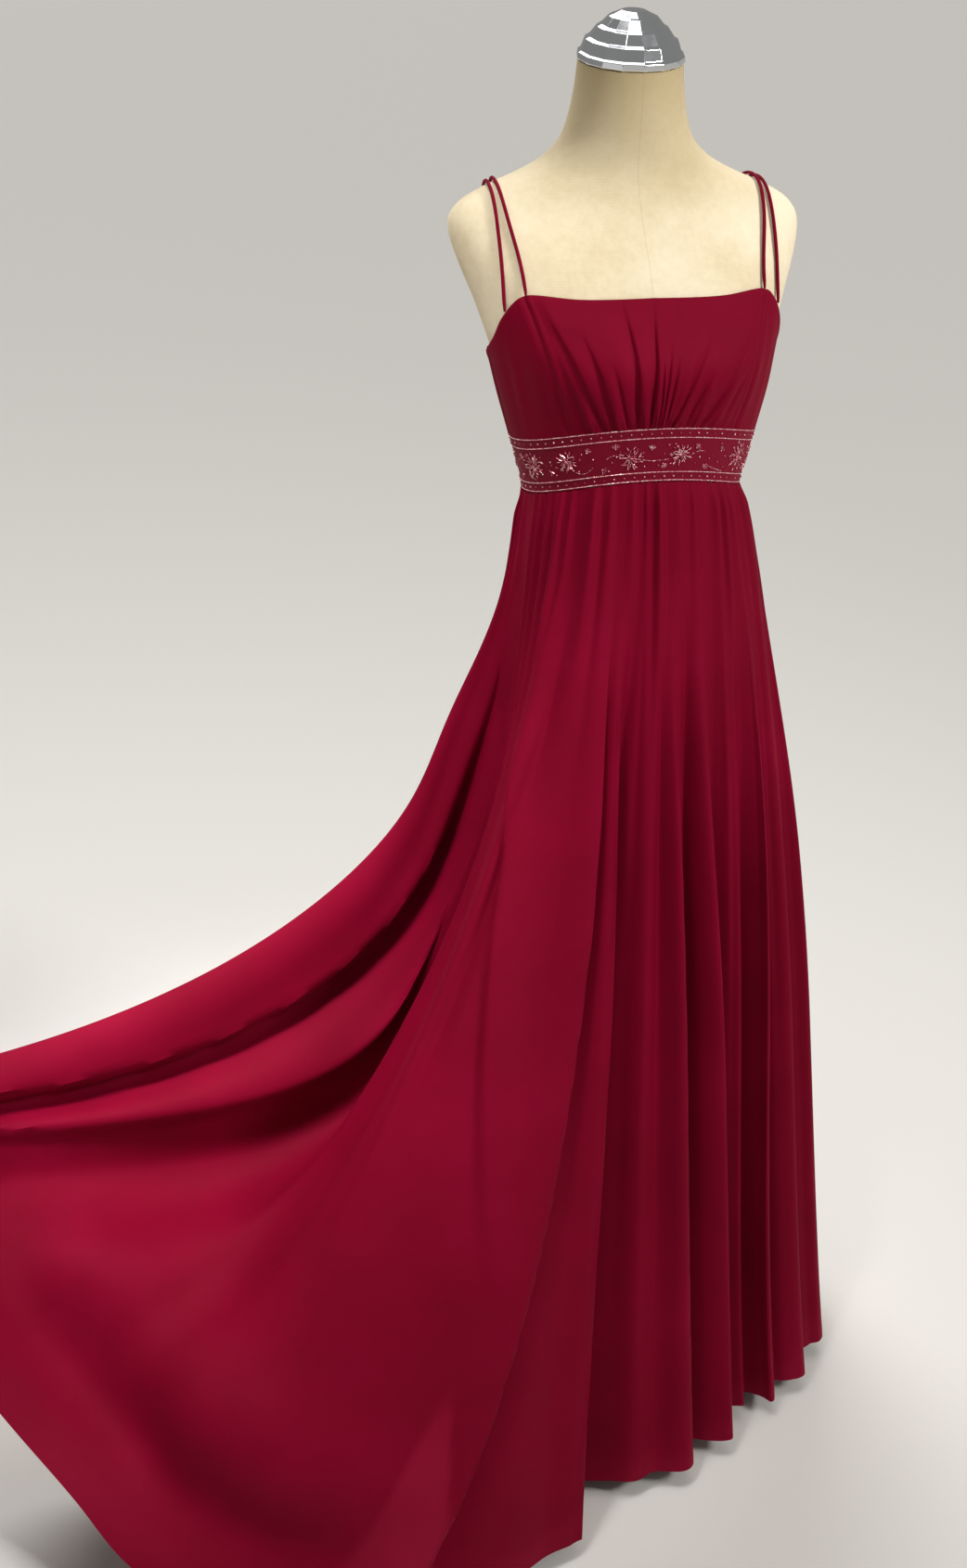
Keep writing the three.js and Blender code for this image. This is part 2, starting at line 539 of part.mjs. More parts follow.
// Stand: hub under the torso, pole and round base
const HUB_HEIGHT = 34;
turned(
  "form_hub",
  [
    [0, FORM_BOTTOM - HUB_HEIGHT], [22, FORM_BOTTOM - HUB_HEIGHT], [24, FORM_BOTTOM - HUB_HEIGHT + 4],
    [24, FORM_BOTTOM - 12], [46, FORM_BOTTOM - 6], [46, FORM_BOTTOM - SEAM], [0, FORM_BOTTOM - SEAM],
  ],
  24,
  steel,
);
turned(
  "form_pole",
  [
    [0, BASE_THICK + 10 + SEAM], [POLE_RADIUS, BASE_THICK + 10 + SEAM],
    [POLE_RADIUS, FORM_BOTTOM - HUB_HEIGHT - SEAM], [0, FORM_BOTTOM - HUB_HEIGHT - SEAM],
  ],
  16,
  steel,
);
turned(
  "form_base",
  [
    [0, 0], [BASE_RADIUS, 0], [BASE_RADIUS, BASE_THICK - 5], [BASE_RADIUS - 5, BASE_THICK],
    [30, BASE_THICK + 2], [22, BASE_THICK + 10], [0, BASE_THICK + 10],
  ],
  32,
  chrome,
);

export default group;
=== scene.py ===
import math

import bpy
import numpy as np
from mathutils import Matrix, Vector


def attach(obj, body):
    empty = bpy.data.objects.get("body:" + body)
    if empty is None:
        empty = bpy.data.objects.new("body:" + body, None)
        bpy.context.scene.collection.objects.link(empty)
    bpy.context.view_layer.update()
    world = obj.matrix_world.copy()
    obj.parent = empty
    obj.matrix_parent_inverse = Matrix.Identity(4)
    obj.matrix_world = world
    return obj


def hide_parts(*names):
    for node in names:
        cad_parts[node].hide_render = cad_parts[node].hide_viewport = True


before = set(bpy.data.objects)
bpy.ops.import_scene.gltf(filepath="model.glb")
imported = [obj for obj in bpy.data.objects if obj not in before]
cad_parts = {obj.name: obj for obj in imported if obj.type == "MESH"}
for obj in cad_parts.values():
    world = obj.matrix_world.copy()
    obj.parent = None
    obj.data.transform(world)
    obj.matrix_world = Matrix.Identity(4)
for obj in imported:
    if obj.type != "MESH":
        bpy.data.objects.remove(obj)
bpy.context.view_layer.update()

# Camera
# It stands a little higher than the neck cap, in front and to the gown's right, and looks down a little.
# The photo is a crop from a taller frame, which the small vertical shift gives back.
CAMERA_PLACE = (-0.5694, -2.1250, 1.68)
CAMERA_TILT = 16.4  # degrees below the horizon
CAMERA_TURN = 10.886  # degrees from +Y towards +X
CAMERA_FOCAL_PIXELS = 2200
PHOTO_HEIGHT = 1690
PHOTO_AXIS_ROW = 600  # the row that the camera looks straight at
bpy.ops.object.select_all(action="DESELECT")
bpy.ops.object.camera_add(
    location=CAMERA_PLACE,
    rotation=(math.radians(90 - CAMERA_TILT), 0, math.radians(-CAMERA_TURN)),
)
camera = bpy.context.object
camera.data.sensor_width = 36
camera.data.lens = 36 * CAMERA_FOCAL_PIXELS / PHOTO_HEIGHT
camera.data.shift_y = (PHOTO_AXIS_ROW - PHOTO_HEIGHT / 2) / PHOTO_HEIGHT
bpy.context.scene.camera = camera

# Stand
# A round weighted base plate of chromed steel with a turned boss, a satin steel pole screwed into it,
# and the hub that carries the torso on the pole.
MM = 0.001


def linear(hex_colour):
    """An sRGB hex colour as linear RGBA."""
    values = [int(hex_colour[i : i + 2], 16) / 255 for i in (1, 3, 5)]
    return [v / 12.92 if v <= 0.04045 else ((v + 0.055) / 1.055) ** 2.4 for v in values] + [1]


def new_material(name, **settings):
    """A material with a Principled shader, whose sockets take the settings."""
    made = bpy.data.materials.new(name)
    made.use_nodes = True
    shader = made.node_tree.nodes["Principled BSDF"]
    for socket, value in settings.items():
        shader.inputs[socket.replace("_", " ")].default_value = value
    return made, made.node_tree, shader


def node(tree, kind, settings=None, **links):
    """Adds a node: `settings` are its own values, and `links` its inputs, as values or other sockets."""
    made = tree.nodes.new(kind)
    for key, value in (settings or {}).items():
        setattr(made, key, value)
    for key, value in links.items():
        socket = made.inputs[int(key[1:])] if key[0] == "_" else made.inputs[key.replace("_", " ")]
        if isinstance(value, bpy.types.NodeSocket):
            tree.links.new(value, socket)
        else:
            socket.default_value = value
    return made


def colour_ramp(tree, factor, stops):
    """A ramp from a factor to colours: `stops` are place and hex colour."""
    made = node(tree, "ShaderNodeValToRGB", Fac=factor)
    elements = made.color_ramp.elements
    while len(elements) < len(stops):
        elements.new(0.5)
    for element, (place, hex_colour) in zip(elements, stops):
        element.position, element.color = place, linear(hex_colour)
    return made.outputs["Color"]


def deselect():
    bpy.ops.object.select_all(action="DESELECT")


def apply_modifier(piece, kind, **settings):
    """Adds a modifier with its settings and applies it."""
    deselect()
    piece.select_set(True)
    bpy.context.view_layer.objects.active = piece
    modifier = piece.modifiers.new(kind.title(), kind)
    for key, value in settings.items():
        setattr(modifier, key, value)
    bpy.ops.object.modifier_apply(modifier=modifier.name)


def settle(piece, name, finish, slot, *replaced):
    """Names a finished piece, puts its place in its mesh, and joins it to the frame."""
    deselect()
    piece.select_set(True)
    bpy.context.view_layer.objects.active = piece
    bpy.ops.object.transform_apply(location=True, rotation=True, scale=True)
    piece.name = name
    piece.data.materials.clear()
    piece.data.materials.append(finish)
    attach(piece, "root")
    if replaced:
        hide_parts(*replaced)
    return piece


def turned(profile, sides, smooth=30):
    """A piece turned on a lathe: `profile` rows are radius and height in mm, on the stand's axis."""
    deselect()
    bpy.ops.mesh.primitive_circle_add(vertices=sides, radius=profile[0][0] * MM, fill_type="NGON")
    piece = bpy.context.object
    bpy.ops.object.mode_set(mode="EDIT")
    bpy.ops.mesh.select_all(action="SELECT")
    bpy.ops.transform.translate(value=(0, 0, profile[0][1] * MM))
    for (wide, low), (next_wide, high) in zip(profile, profile[1:]):
        bpy.ops.mesh.extrude_region_move(TRANSFORM_OT_translate={"value": (0, 0, (high - low) * MM)})
        share = next_wide / wide
        bpy.ops.transform.resize(value=(share, share, 1), center_override=(0, 0, high * MM))
    bpy.ops.mesh.select_all(action="SELECT")
    bpy.ops.mesh.normals_make_consistent(inside=False)
    bpy.ops.object.mode_set(mode="OBJECT")
    bpy.ops.object.shade_smooth_by_angle(angle=math.radians(smooth))
    return piece


# Bright chrome plate: a mirror with faint polishing marks that blur it unevenly.
chrome, tree, shader = new_material("polished_chrome", Metallic=1, Base_Color=linear("#dfe2e6"))
place = node(tree, "ShaderNodeTexCoord").outputs["Object"]
smears = node(tree, "ShaderNodeTexNoise", Vector=place, Scale=70, Detail=4).outputs["Fac"]
blur = node(tree, "ShaderNodeMapRange", _0=smears, _3=0.05, _4=0.17).outputs[0]
tree.links.new(blur, shader.inputs["Roughness"])

# Satin steel: fine turning marks round the pole, about 1 mm apart so that they show.
satin_steel, tree, shader = new_material("satin_steel", Metallic=1, Base_Color=linear("#b9bbbe"))
place = node(tree, "ShaderNodeTexCoord").outputs["Object"]
marks = node(
    tree,
    "ShaderNodeTexNoise",
    Vector=node(tree, "ShaderNodeMapping", Vector=place, Scale=(20, 20, 1000)).outputs[0],
    Scale=1,
).outputs["Fac"]
blur = node(tree, "ShaderNodeMapRange", _0=marks, _3=0.22, _4=0.4).outputs[0]
tree.links.new(blur, shader.inputs["Roughness"])
dents = node(tree, "ShaderNodeBump", Strength=0.1, Distance=0.0002, Height=marks)
tree.links.new(dents.outputs[0], shader.inputs["Normal"])

BASE_PROFILE = [
    (148, 0), (150, 1.2), (150, 6), (149, 8.6), (146, 10.4), (141, 11.4), (60, 13), (33, 14),
    (29, 15.5), (25, 20), (22.5, 21.6), (20, 22),
]
POLE_PROFILE = [(13.4, 22.3), (14, 23), (14, 754.6), (13.4, 755.4)]
HUB_PROFILE = [
    (21, 756), (22.6, 756.5), (24, 758.4), (24, 776), (26, 779), (40, 782), (46, 785), (46, 789),
    (45, 789.7),
]
settle(turned(BASE_PROFILE, 128), "base_plate", chrome, "chrome", "form_base")
settle(turned(POLE_PROFILE, 48), "pole", satin_steel, "steel", "form_pole")
settle(turned(HUB_PROFILE, 64), "torso_hub", satin_steel, "steel", "form_hub")

# Dress form
# A limbless hollow torso with neck, covered in fine cream knit that is pulled over it and glued under.
# The cover is sewn down the centre front and back. Sections run from the hips up to the neck's top.
FORM_COLUMNS = ("z", "wide", "deep", "back")
FORM_SECTIONS = [
    (790, 118, 84, 2), (806, 138, 99, 2), (850, 150, 106, 0), (930, 146, 102, -4),
    (1010, 128, 90, -11), (1070, 113, 83, -16), (1125, 116, 87, -19), (1185, 131, 98, -20),
    (1235, 144, 104, -18), (1280, 155, 106, -11), (1325, 169, 103, 1), (1365, 184, 95, 14),
    (1396, 193, 85, 26), (1414, 192, 78, 32), (1430, 179, 71, 35), (1445, 152, 65, 36),
    (1459, 119, 60, 35), (1474, 92, 57, 32), (1492, 74, 57, 29), (1514, 65, 57, 25),
    (1545, 59, 56, 20), (1575, 56, 55, 16),
]
BUST_HEIGHT = 1272
NECK_TOP = 1575
NECK_TILT = 0.2  # slope of the neck's top, low at the front


def table(columns, rows):
    """The rows of a table as one array for each column."""
    return {name: np.array(values, float) for name, values in zip(columns, zip(*rows))}


def along(rows, by, column, at):
    """A column of a table as a smooth curve through its rows."""
    x, y, at = rows[by], rows[column], np.asarray(at, float)
    last = len(x) - 1
    i = np.clip(np.searchsorted(x, at, side="left") - 1, 0, last - 1)

    def slope(k):
        low, high = np.maximum(k - 1, 0), np.minimum(k + 1, last)
        return (y[high] - y[low]) / (x[high] - x[low])

    gap = x[i + 1] - x[i]
    t = np.clip((at - x[i]) / gap, 0, 1)
    start = y[i] * (1 - t) ** 2 * (1 + 2 * t) + slope(i) * gap * t * (1 - t) ** 2
    return start + y[i + 1] * t * t * (3 - 2 * t) - slope(i + 1) * gap * t * t * (1 - t)


def gauss(value, middle, spread):
    return np.exp(-(((value - middle) / spread) ** 2))


def ramp(low, high, value):
    t = np.clip((value - low) / (high - low), 0, 1)
    return t * t * (3 - 2 * t)


def wrapped(turn):
    """The same turn, from -180 to 180."""
    return np.mod(turn + 540, 360) - 180


FORM = table(FORM_COLUMNS, FORM_SECTIONS)


def body_point(turn, z, off, bridged):
    """A point round the form, in mm: a turn in degrees from the centre front, a height, and how far out.
    The bust is two soft mounds, and `bridged` cloth lies across them."""
    side = np.abs(wrapped(turn))
    mound = gauss(side, 37, 21)
    over = np.maximum(mound, 1 - ramp(37, 75, side)) if bridged else mound
    bust = over * gauss(z, BUST_HEIGHT, 46)
    wide = along(FORM, "z", "wide", z) + off + 3 * bust
    deep = along(FORM, "z", "deep", z) + off + 20 * bust
    angle = np.radians(turn)
    y = along(FORM, "z", "back", z) - deep * np.cos(angle)
    return np.stack([wide * np.sin(angle), y, z + 0 * angle], -1)


def form_point(turn, z):
    point = body_point(turn, z, 0, False)
    tilt = NECK_TILT * ramp(1480, NECK_TOP, z)
    point[..., 2] += tilt * (point[..., 1] - along(FORM, "z", "back", z))
    return point


# Fine rib-free knit in cream cotton: matt, with a soft nap, stitches drawn 2.4 mm apart so that they
# show, and small slubs. Painted shade darkens it up the neck, whose upright face gets less light from
# above; it is also darker along the sewn line.
knit, tree, shader = new_material("cream_knit", Roughness=0.88, Sheen_Weight=0.25, Sheen_Roughness=0.5)
shader.inputs["Sheen Tint"].default_value = linear("#fff4dc")
shader.inputs["Specular IOR Level"].default_value = 0.25
place = node(tree, "ShaderNodeTexCoord").outputs["Object"]
slubs = node(tree, "ShaderNodeTexNoise", Vector=place, Scale=120, Detail=6, Roughness=0.65).outputs["Fac"]
patches = node(tree, "ShaderNodeTexNoise", Vector=place, Scale=9, Detail=3).outputs["Fac"]
mixed = node(tree, "ShaderNodeMath", {"operation": "MULTIPLY_ADD"}, _0=slubs, _1=0.45, _2=patches)
cover = colour_ramp(tree, mixed.outputs[0], [(0.45, "#d0be98"), (0.72, "#dfcfae"), (0.95, "#e8dabd")])
places = node(tree, "ShaderNodeSeparateXYZ", Vector=place).outputs
# Painted shade: the knit is darkened up the neck, standing in for the shade on its upright face
painted_neck_shade = node(tree, "ShaderNodeMapRange", _0=places["Z"], _1=1.42, _2=1.57, _3=0, _4=0.85)
middle = node(tree, "ShaderNodeMath", {"operation": "COMPARE"}, _0=places["X"], _1=0, _2=0.0005)
sewn = node(tree, "ShaderNodeMath", {"operation": "MULTIPLY"}, _0=middle.outputs[0], _1=0.2)
for share, hex_colour in ((painted_neck_shade, "#a8956c"), (sewn, "#8f7c58")):
    darker = {"_0": share.outputs[0], "_6": cover, "_7": linear(hex_colour)}
    cover = node(tree, "ShaderNodeMix", {"data_type": "RGBA"}, **darker).outputs[2]
tree.links.new(cover, shader.inputs["Base Color"])
stitches = node(
    tree, "ShaderNodeTexWave", {"bands_direction": "Z"}, Vector=place, Scale=130, Distortion=1.5, Detail=2
).outputs["Fac"]
relief = node(tree, "ShaderNodeMath", {"operation": "MULTIPLY_ADD"}, _0=stitches, _1=0.4, _2=slubs)
bump = node(tree, "ShaderNodeBump", Strength=0.22, Distance=0.0006, Height=relief.outputs[0])
tree.links.new(bump.outputs[0], shader.inputs["Normal"])


def grid_piece(columns, rows):
    """A flat grid whose points are then placed; returns it with each point's share across and down."""
    deselect()
    bpy.ops.mesh.primitive_grid_add(x_subdivisions=columns, y_subdivisions=rows, size=2)
    piece = bpy.context.object
    flat = np.zeros(len(piece.data.vertices) * 3)
    piece.data.vertices.foreach_get("co", flat)
    flat = flat.reshape(-1, 3)
    return piece, (flat[:, 0] + 1) / 2, (1 - flat[:, 1]) / 2


def place_points(piece, points):
    """Puts the points of a grid, given in mm, in place."""
    piece.data.vertices.foreach_set("co", (points * MM).ravel())
    piece.data.update()


def edit(piece):
    """Edit mode with all of the piece selected."""
    deselect()
    piece.select_set(True)
    bpy.context.view_layer.objects.active = piece
    bpy.ops.object.mode_set(mode="EDIT")
    bpy.ops.mesh.select_all(action="SELECT")


TORSO_COLUMNS, TORSO_ROWS = 160, 190
torso, across, down = grid_piece(TORSO_COLUMNS, TORSO_ROWS)
heights = FORM["z"][-1] + (FORM["z"][0] - FORM["z"][-1]) * down
place_points(torso, form_point(across * 360, heights))
edit(torso)
bpy.ops.mesh.remove_doubles(threshold=1e-5)
bpy.ops.mesh.fill_holes(sides=0)
bpy.ops.mesh.normals_make_consistent(inside=False)
bpy.ops.object.mode_set(mode="OBJECT")
bpy.ops.object.shade_smooth_by_angle(angle=math.radians(40))
settle(torso, "torso", knit, "form_cloth", "form_torso")

# Neck cap
# A spun steel cap with sixteen flat facets and four stepped tiers over a low rim, chrome plated and
# pushed into the top of the neck, which slopes down to the front.
CAP_FACETS = 16
CAP_RIM = 58
CAP_PROFILE = [
    (56, 0), (CAP_RIM, 2), (57, 8), (54, 10), (50, 22), (46, 24), (38, 35), (34, 37),
    (26, 46), (22, 47.5), (13, 52),
]
cap = turned(CAP_PROFILE, CAP_FACETS, smooth=1)
apply_modifier(cap, "BEVEL", width=0.5 * MM, segments=2, limit_method="ANGLE", angle_limit=math.radians(8))
cap.rotation_euler.x = math.atan(NECK_TILT)
cap.location = (0, FORM["back"][-1] * MM, (NECK_TOP + 0.3) * MM)
settle(cap, "neck_cap", chrome, "chrome", "form_neck_cap")

# Bodice
# A gathered centre front between princess seams, smooth side fronts and backs, all in chiffon backed
# with its own lining. The panels are sewn edge to edge, and the neckline is turned in by 6 mm.
CLOTH_MIDDLE = 4  # the middle of the fitted cloth, out from the form
SHELL = 1.4  # chiffon and lining together
SEAM = 0.3
SEAM_TURN = 0.08  # half the gap at an upright seam, in degrees
BAND_HEIGHT = 61
BAND_BOTTOM_FRONT = 1150
BAND_BOTTOM_SIDE = 1124
PRINCESS_BAND_TURN = 40
PRINCESS_TOP_TURN = 47
BODICE_GATHERS = 9
BODICE_GATHER_OUT = 4.2
FINE_GATHERS = 27
FINE_GATHER_OUT = 0.7
BODICE_PUFF = 3.2  # how far the gathered cloth stands off between band and neckline
BODICE_FAN = 0.6
CREASE_DEPTH = 1.45  # all the centre front's creases are this much deeper than their table says
DEEPEST_CREASE = -1.2  # a crease goes no nearer to the form
NECKLINE = table(("turn", "z"), [
    (0, 1341), (25, 1340), (44, 1343), (51, 1337), (62, 1318), (75, 1294), (90, 1279),
    (112, 1268), (145, 1266), (180, 1268),
])


def band_bottom(turn):
    drop = (BAND_BOTTOM_FRONT - BAND_BOTTOM_SIDE) / 2
    front = np.abs(wrapped(turn)) < 90
    return BAND_BOTTOM_FRONT - drop + drop * np.where(front, np.cos(2 * np.radians(turn)), -1)


def neckline(turn):
    return along(NECKLINE, "turn", "z", np.abs(wrapped(turn)))


def bodice(turn, t, off=CLOTH_MIDDLE):
    """The fitted cloth: t runs from the band (0) to the neckline (1)."""
    low = band_bottom(turn) + BAND_HEIGHT + SEAM
    return body_point(turn, low + (neckline(turn) - low) * t, off, True)


def princess(t):
    return PRINCESS_BAND_TURN + (PRINCESS_TOP_TURN - PRINCESS_BAND_TURN) * t**0.8


def edge_roll(t):
    """The turned-in edge at the neckline stands a little proud and rolls over."""
    return 0.5 * gauss(t, 0.95, 0.035) - 0.6 * ramp(0.985, 1, t)


def uneven(turn, size=1.0):
    """A turn shifted a little to and fro, so that what repeats stands unevenly."""
    slow, quick = np.sin(np.radians(turn * 7 + 20)), np.sin(np.radians(turn * 17 + 50))
    return turn + size * (1.3 * slow + 0.7 * quick)


# Longer creases of the centre front, drawn from the gathers up to the neckline: where each starts and
# ends across the panel, how deep it is, its half width on either side, and how far up it reaches
FRONT_CREASES = table(("low", "high", "out", "before", "after", "reach"), [
    (-0.84, -0.97, -1.6, 0.05, 0.02, 0.7),
    (-0.71, -0.90, -3.0, 0.06, 0.02, 1.0),
    (-0.61, -0.67, -2.6, 0.05, 0.015, 0.85),
    (-0.50, -0.52, -2.0, 0.04, 0.015, 0.6),
    (-0.38, -0.25, -3.8, 0.07, 0.012, 1.1),
    (-0.22, -0.01, -3.4, 0.06, 0.012, 1.1),
    (-0.08, 0.06, -1.8, 0.05, 0.015, 0.6),
    (0.08, 0.12, -2.2, 0.05, 0.012, 0.75),
    (0.18, 0.20, -2.0, 0.05, 0.012, 0.65),
    (0.30, 0.52, -2.4, 0.05, 0.015, 0.85),
    (0.44, 0.66, -1.6, 0.05, 0.015, 0.6),
    (0.63, 0.96, -2.4, 0.05, 0.02, 0.75),
    (0.80, 0.99, -1.4, 0.04, 0.02, 0.5),
])


def lopsided(value, middle, before, after):
    """A bump whose two sides have widths of their own."""
    return gauss(value, middle, np.where(value < middle, before, after))


def centre_front(u, v):
    """The gathered panel: gathers and creases fan up from the band, over a soft puff."""
    u, t = 2 * u - 1, 1 - v
    share = np.sign(u) * np.abs(u) ** (1 + BODICE_FAN * (1 - t))
    turn = share * (princess(t) - SEAM_TURN)
    inside = 1 - ramp(0.8, 1, np.abs(u))
    fade = (1 - ramp(0.12, 0.75, t)) * (1 - ramp(0.7, 1, np.abs(u))) * ramp(-0.1, 0.06, t)
    shifted = u + 0.03 * np.sin(u * 9 + 1) + 0.02 * np.sin(u * 23)
    out = 0.5 * BODICE_GATHER_OUT * fade * (1 - np.cos(shifted * np.pi * BODICE_GATHERS)) / 2
    out += FINE_GATHER_OUT * (1 - ramp(0, 0.22, t)) * inside * np.sin(shifted * np.pi * FINE_GATHERS)
    out += BODICE_PUFF * inside * ramp(0, 0.1, t) * (1 - ramp(0.8, 0.99, t))
    for low, high, deep, before, after, reach in zip(*FRONT_CREASES.values()):
        middle = low + (high - low) * t
        spread = 0.7 + 0.9 * t
        strength = ramp(-0.15, 0.12, t) * (1 - ramp(0.5 * reach, reach, t))
        out += CREASE_DEPTH * deep * strength * lopsided(u, middle, before * spread, after * spread)
    out = np.maximum(out, DEEPEST_CREASE)
    # The seam allowance pads the cloth beside the princess seam, and the seam itself sinks
    out += 1.0 * gauss(np.abs(u), 0.955, 0.02) * ramp(0, 0.1, t) - 0.9 * gauss(np.abs(u), 1, 0.012)
    return bodice(turn, t, CLOTH_MIDDLE + out + edge_roll(t))


def side_front(low_turn, high_turn):
    """A smooth panel with faint upright folds where it is eased over the ribs."""
    def surface(u, v):
        t = 1 - v
        low = low_turn(t) if callable(low_turn) else low_turn
        high = high_turn(t) if callable(high_turn) else high_turn
        turn = low + (high - low) * u
        out = 0.6 * np.sin(np.radians(uneven(turn, 2) * 26)) * gauss(t, 0.45, 0.35)
        out += 0.8 * gauss(u, 0.06, 0.035) + 0.8 * gauss(u, 0.94, 0.035)
        seam = gauss(u, 0, 0.012) + gauss(u, 1, 0.012)
        return bodice(turn, t, CLOTH_MIDDLE + out - 1.2 * seam + edge_roll(t))
    return surface


# Crimson polyester chiffon over its lining: matt, with a soft rosy sheen at glancing angles. The crepe
# threads are drawn 1 mm apart so that they show. Where `single` is 1 there is no lining behind, and
# the cloth is a little lighter and browner.
chiffon, tree, shader = new_material(
    "crimson_chiffon", Roughness=0.7, Sheen_Weight=0.08, Sheen_Roughness=0.4
)
shader.inputs["Sheen Tint"].default_value = linear("#ff3060")
shader.inputs["Specular IOR Level"].default_value = 0.06
place = node(tree, "ShaderNodeTexCoord").outputs["Object"]
cloudy = node(tree, "ShaderNodeTexNoise", Vector=place, Scale=7, Detail=4, Roughness=0.55).outputs["Fac"]
lined = colour_ramp(tree, cloudy, [(0.3, "#6c001c"), (0.55, "#740020"), (0.75, "#7c0225")])
unlined = colour_ramp(tree, cloudy, [(0.3, "#840c2a"), (0.7, "#8e1634")])
single = node(tree, "ShaderNodeAttribute", {"attribute_name": "single"}).outputs["Fac"]
cover = node(tree, "ShaderNodeMix", {"data_type": "RGBA"}, _0=single, _6=lined, _7=unlined).outputs[2]
tree.links.new(cover, shader.inputs["Base Color"])
crepe = node(tree, "ShaderNodeTexNoise", Vector=place, Scale=900, Detail=3, Roughness=0.7).outputs["Fac"]
slack = node(tree, "ShaderNodeTexNoise", Vector=place, Scale=30, Detail=3).outputs["Fac"]
relief = node(tree, "ShaderNodeMath", {"operation": "MULTIPLY_ADD"}, _0=slack, _1=2.0, _2=crepe)
bump = node(tree, "ShaderNodeBump", Strength=0.18, Distance=0.0007, Height=relief.outputs[0])
tree.links.new(bump.outputs[0], shader.inputs["Normal"])


def cloth_panel(name, surface, columns, rows, finish, slot, replaced, thick=SHELL, single=None):
    """A panel of cloth: a grid laid on its surface, given its thickness and shaded smooth."""
    piece, u, v = grid_piece(columns, rows)
    place_points(piece, surface(u, v))
    if single is not None:
        attribute = piece.data.attributes.new("single", "FLOAT", "POINT")
        attribute.data.foreach_set("value", single(u, v).astype(np.float32))
    apply_modifier(piece, "SOLIDIFY", thickness=thick * MM, offset=0)
    bpy.ops.object.shade_smooth_by_angle(angle=math.radians(50))
    return settle(piece, name, finish, slot, replaced)


def left_princess_edge(t):
    return princess(t) + SEAM_TURN


def right_princess_edge(t):
    return -princess(t) - SEAM_TURN


panel_front = cloth_panel("centre_front", centre_front, 220, 90, chiffon, "chiffon", "bodice_center_front")
side_panels = [
    cloth_panel(name, side_front(low, high), 70, 70, chiffon, "chiffon", replaced)
    for name, low, high, replaced in [
        ("side_front_left", left_princess_edge, 90 - SEAM_TURN, "bodice_side_front_left"),
        ("side_front_right", -90 + SEAM_TURN, right_princess_edge, "bodice_side_front_right"),
    ]
]
back_panels = [
    cloth_panel(name, side_front(low, high), 110, 50, chiffon, "chiffon", replaced)
    for name, low, high, replaced in [
        ("back_left", 90 + SEAM_TURN, 180 - SEAM_TURN, "bodice_back_left"),
        ("back_right", 180 + SEAM_TURN, 270 - SEAM_TURN, "bodice_back_right"),
    ]
]

# Waistband
# An inset empire band of the same crimson cloth, interfaced so that it lies flat, with its upper and
# lower edges turned in. It is sewn between bodice and skirt and carries the beading.


def band_point(turn, v, off=CLOTH_MIDDLE):
    """A point of the band: v runs down from its top edge (0) to its bottom edge (1)."""
    return body_point(turn, band_bottom(turn) + BAND_HEIGHT * (1 - v), off, True)


def band_surface(low, high):
    """The band between two turns, less half the gap at each seam."""
    low, high = low + SEAM_TURN, high - SEAM_TURN

    def surface(u, v):
        turned_in = gauss(v, 0.04, 0.04) + gauss(v, 0.96, 0.04)
        rolled = ramp(0.985, 1, v) + 1 - ramp(0, 0.015, v)
        return band_point(low + (high - low) * u, v, CLOTH_MIDDLE + 0.5 * (turned_in - rolled))
    return surface


# The same cloth fused to a stiffener: a little darker and flatter, with the threads pulled straight.
band_cloth, tree, shader = new_material("interfaced_crepe", Roughness=0.65, Sheen_Weight=0.12)
shader.inputs["Sheen Tint"].default_value = linear("#ff3060")
shader.inputs["Specular IOR Level"].default_value = 0.12
place = node(tree, "ShaderNodeTexCoord").outputs["Object"]
threads = node(tree, "ShaderNodeTexNoise", Vector=place, Scale=700, Detail=3).outputs["Fac"]
cover = colour_ramp(tree, threads, [(0.3, "#68001e"), (0.7, "#780424")])
tree.links.new(cover, shader.inputs["Base Color"])
bump = node(tree, "ShaderNodeBump", Strength=0.2, Distance=0.0004, Height=threads)
tree.links.new(bump.outputs[0], shader.inputs["Normal"])

bands = [
    cloth_panel(name, band_surface(low, high), columns, 24, band_cloth, "waistband", replaced)
    for name, low, high, columns, replaced in [
        ("band_front", -90, 90, 160, "waistband_front"),
        ("band_back_left", 90, 180, 80, "waistband_back_left"),
        ("band_back_right", 180, 270, 80, "waistband_back_right"),
    ]
]

# Beading
# Strings of small bugle beads run along both edges of the band, with seed beads between them. Flowers,
# sprigs and tendrils of silver-lined and rose glass are sewn on between, and repeat round the back.
BUGLE_LENGTH = 4.4
BUGLE_RADIUS = 0.55
SEED_RADIUS = 0.8
STRING_STEP = 4.9
SEED_STEP = 10.5
HEART_RADIUS = 1.9  # the ring of seeds in a flower's middle
LEAF_REACH = 3.4  # from a leaf's seed bead to the middle of its bugles
TENDRIL_STEP = 2.9
LOOSE_SEEDS = 84
BEAD_BED = CLOTH_MIDDLE + SHELL / 2 + 0.05  # the cloth's face, where the beads lie
bead_luck = np.random.default_rng(7)


def bead_place(turn, v, angle, radius, size=1.0):
    """Where a bead lies on the band: its axis is turned by `angle` from the band's length."""
    here, right, below = (
        Vector(band_point(np.array(float(a)), np.array(float(b)), BEAD_BED + radius))
        for a, b in ((turn, v), (turn + 0.3, v), (turn, v + 0.01))
    )
    along_band, down = (right - here).normalized(), (below - here).normalized()
    axis = along_band * math.cos(angle) + down * math.sin(angle)
    out = along_band.cross(-down).normalized()
    side = out.cross(axis).normalized()
    turned_to = Matrix((axis, side, axis.cross(side))).transposed().to_4x4()
    return Matrix.Translation(here * MM) @ turned_to @ Matrix.Scale(size, 4)


def band_scale(turn):
    """Millimetres for each degree round the band."""
    before, after = (band_point(np.array(turn + half), np.array(0.5)) for half in (-0.5, 0.5))
    return float(np.linalg.norm(after - before))


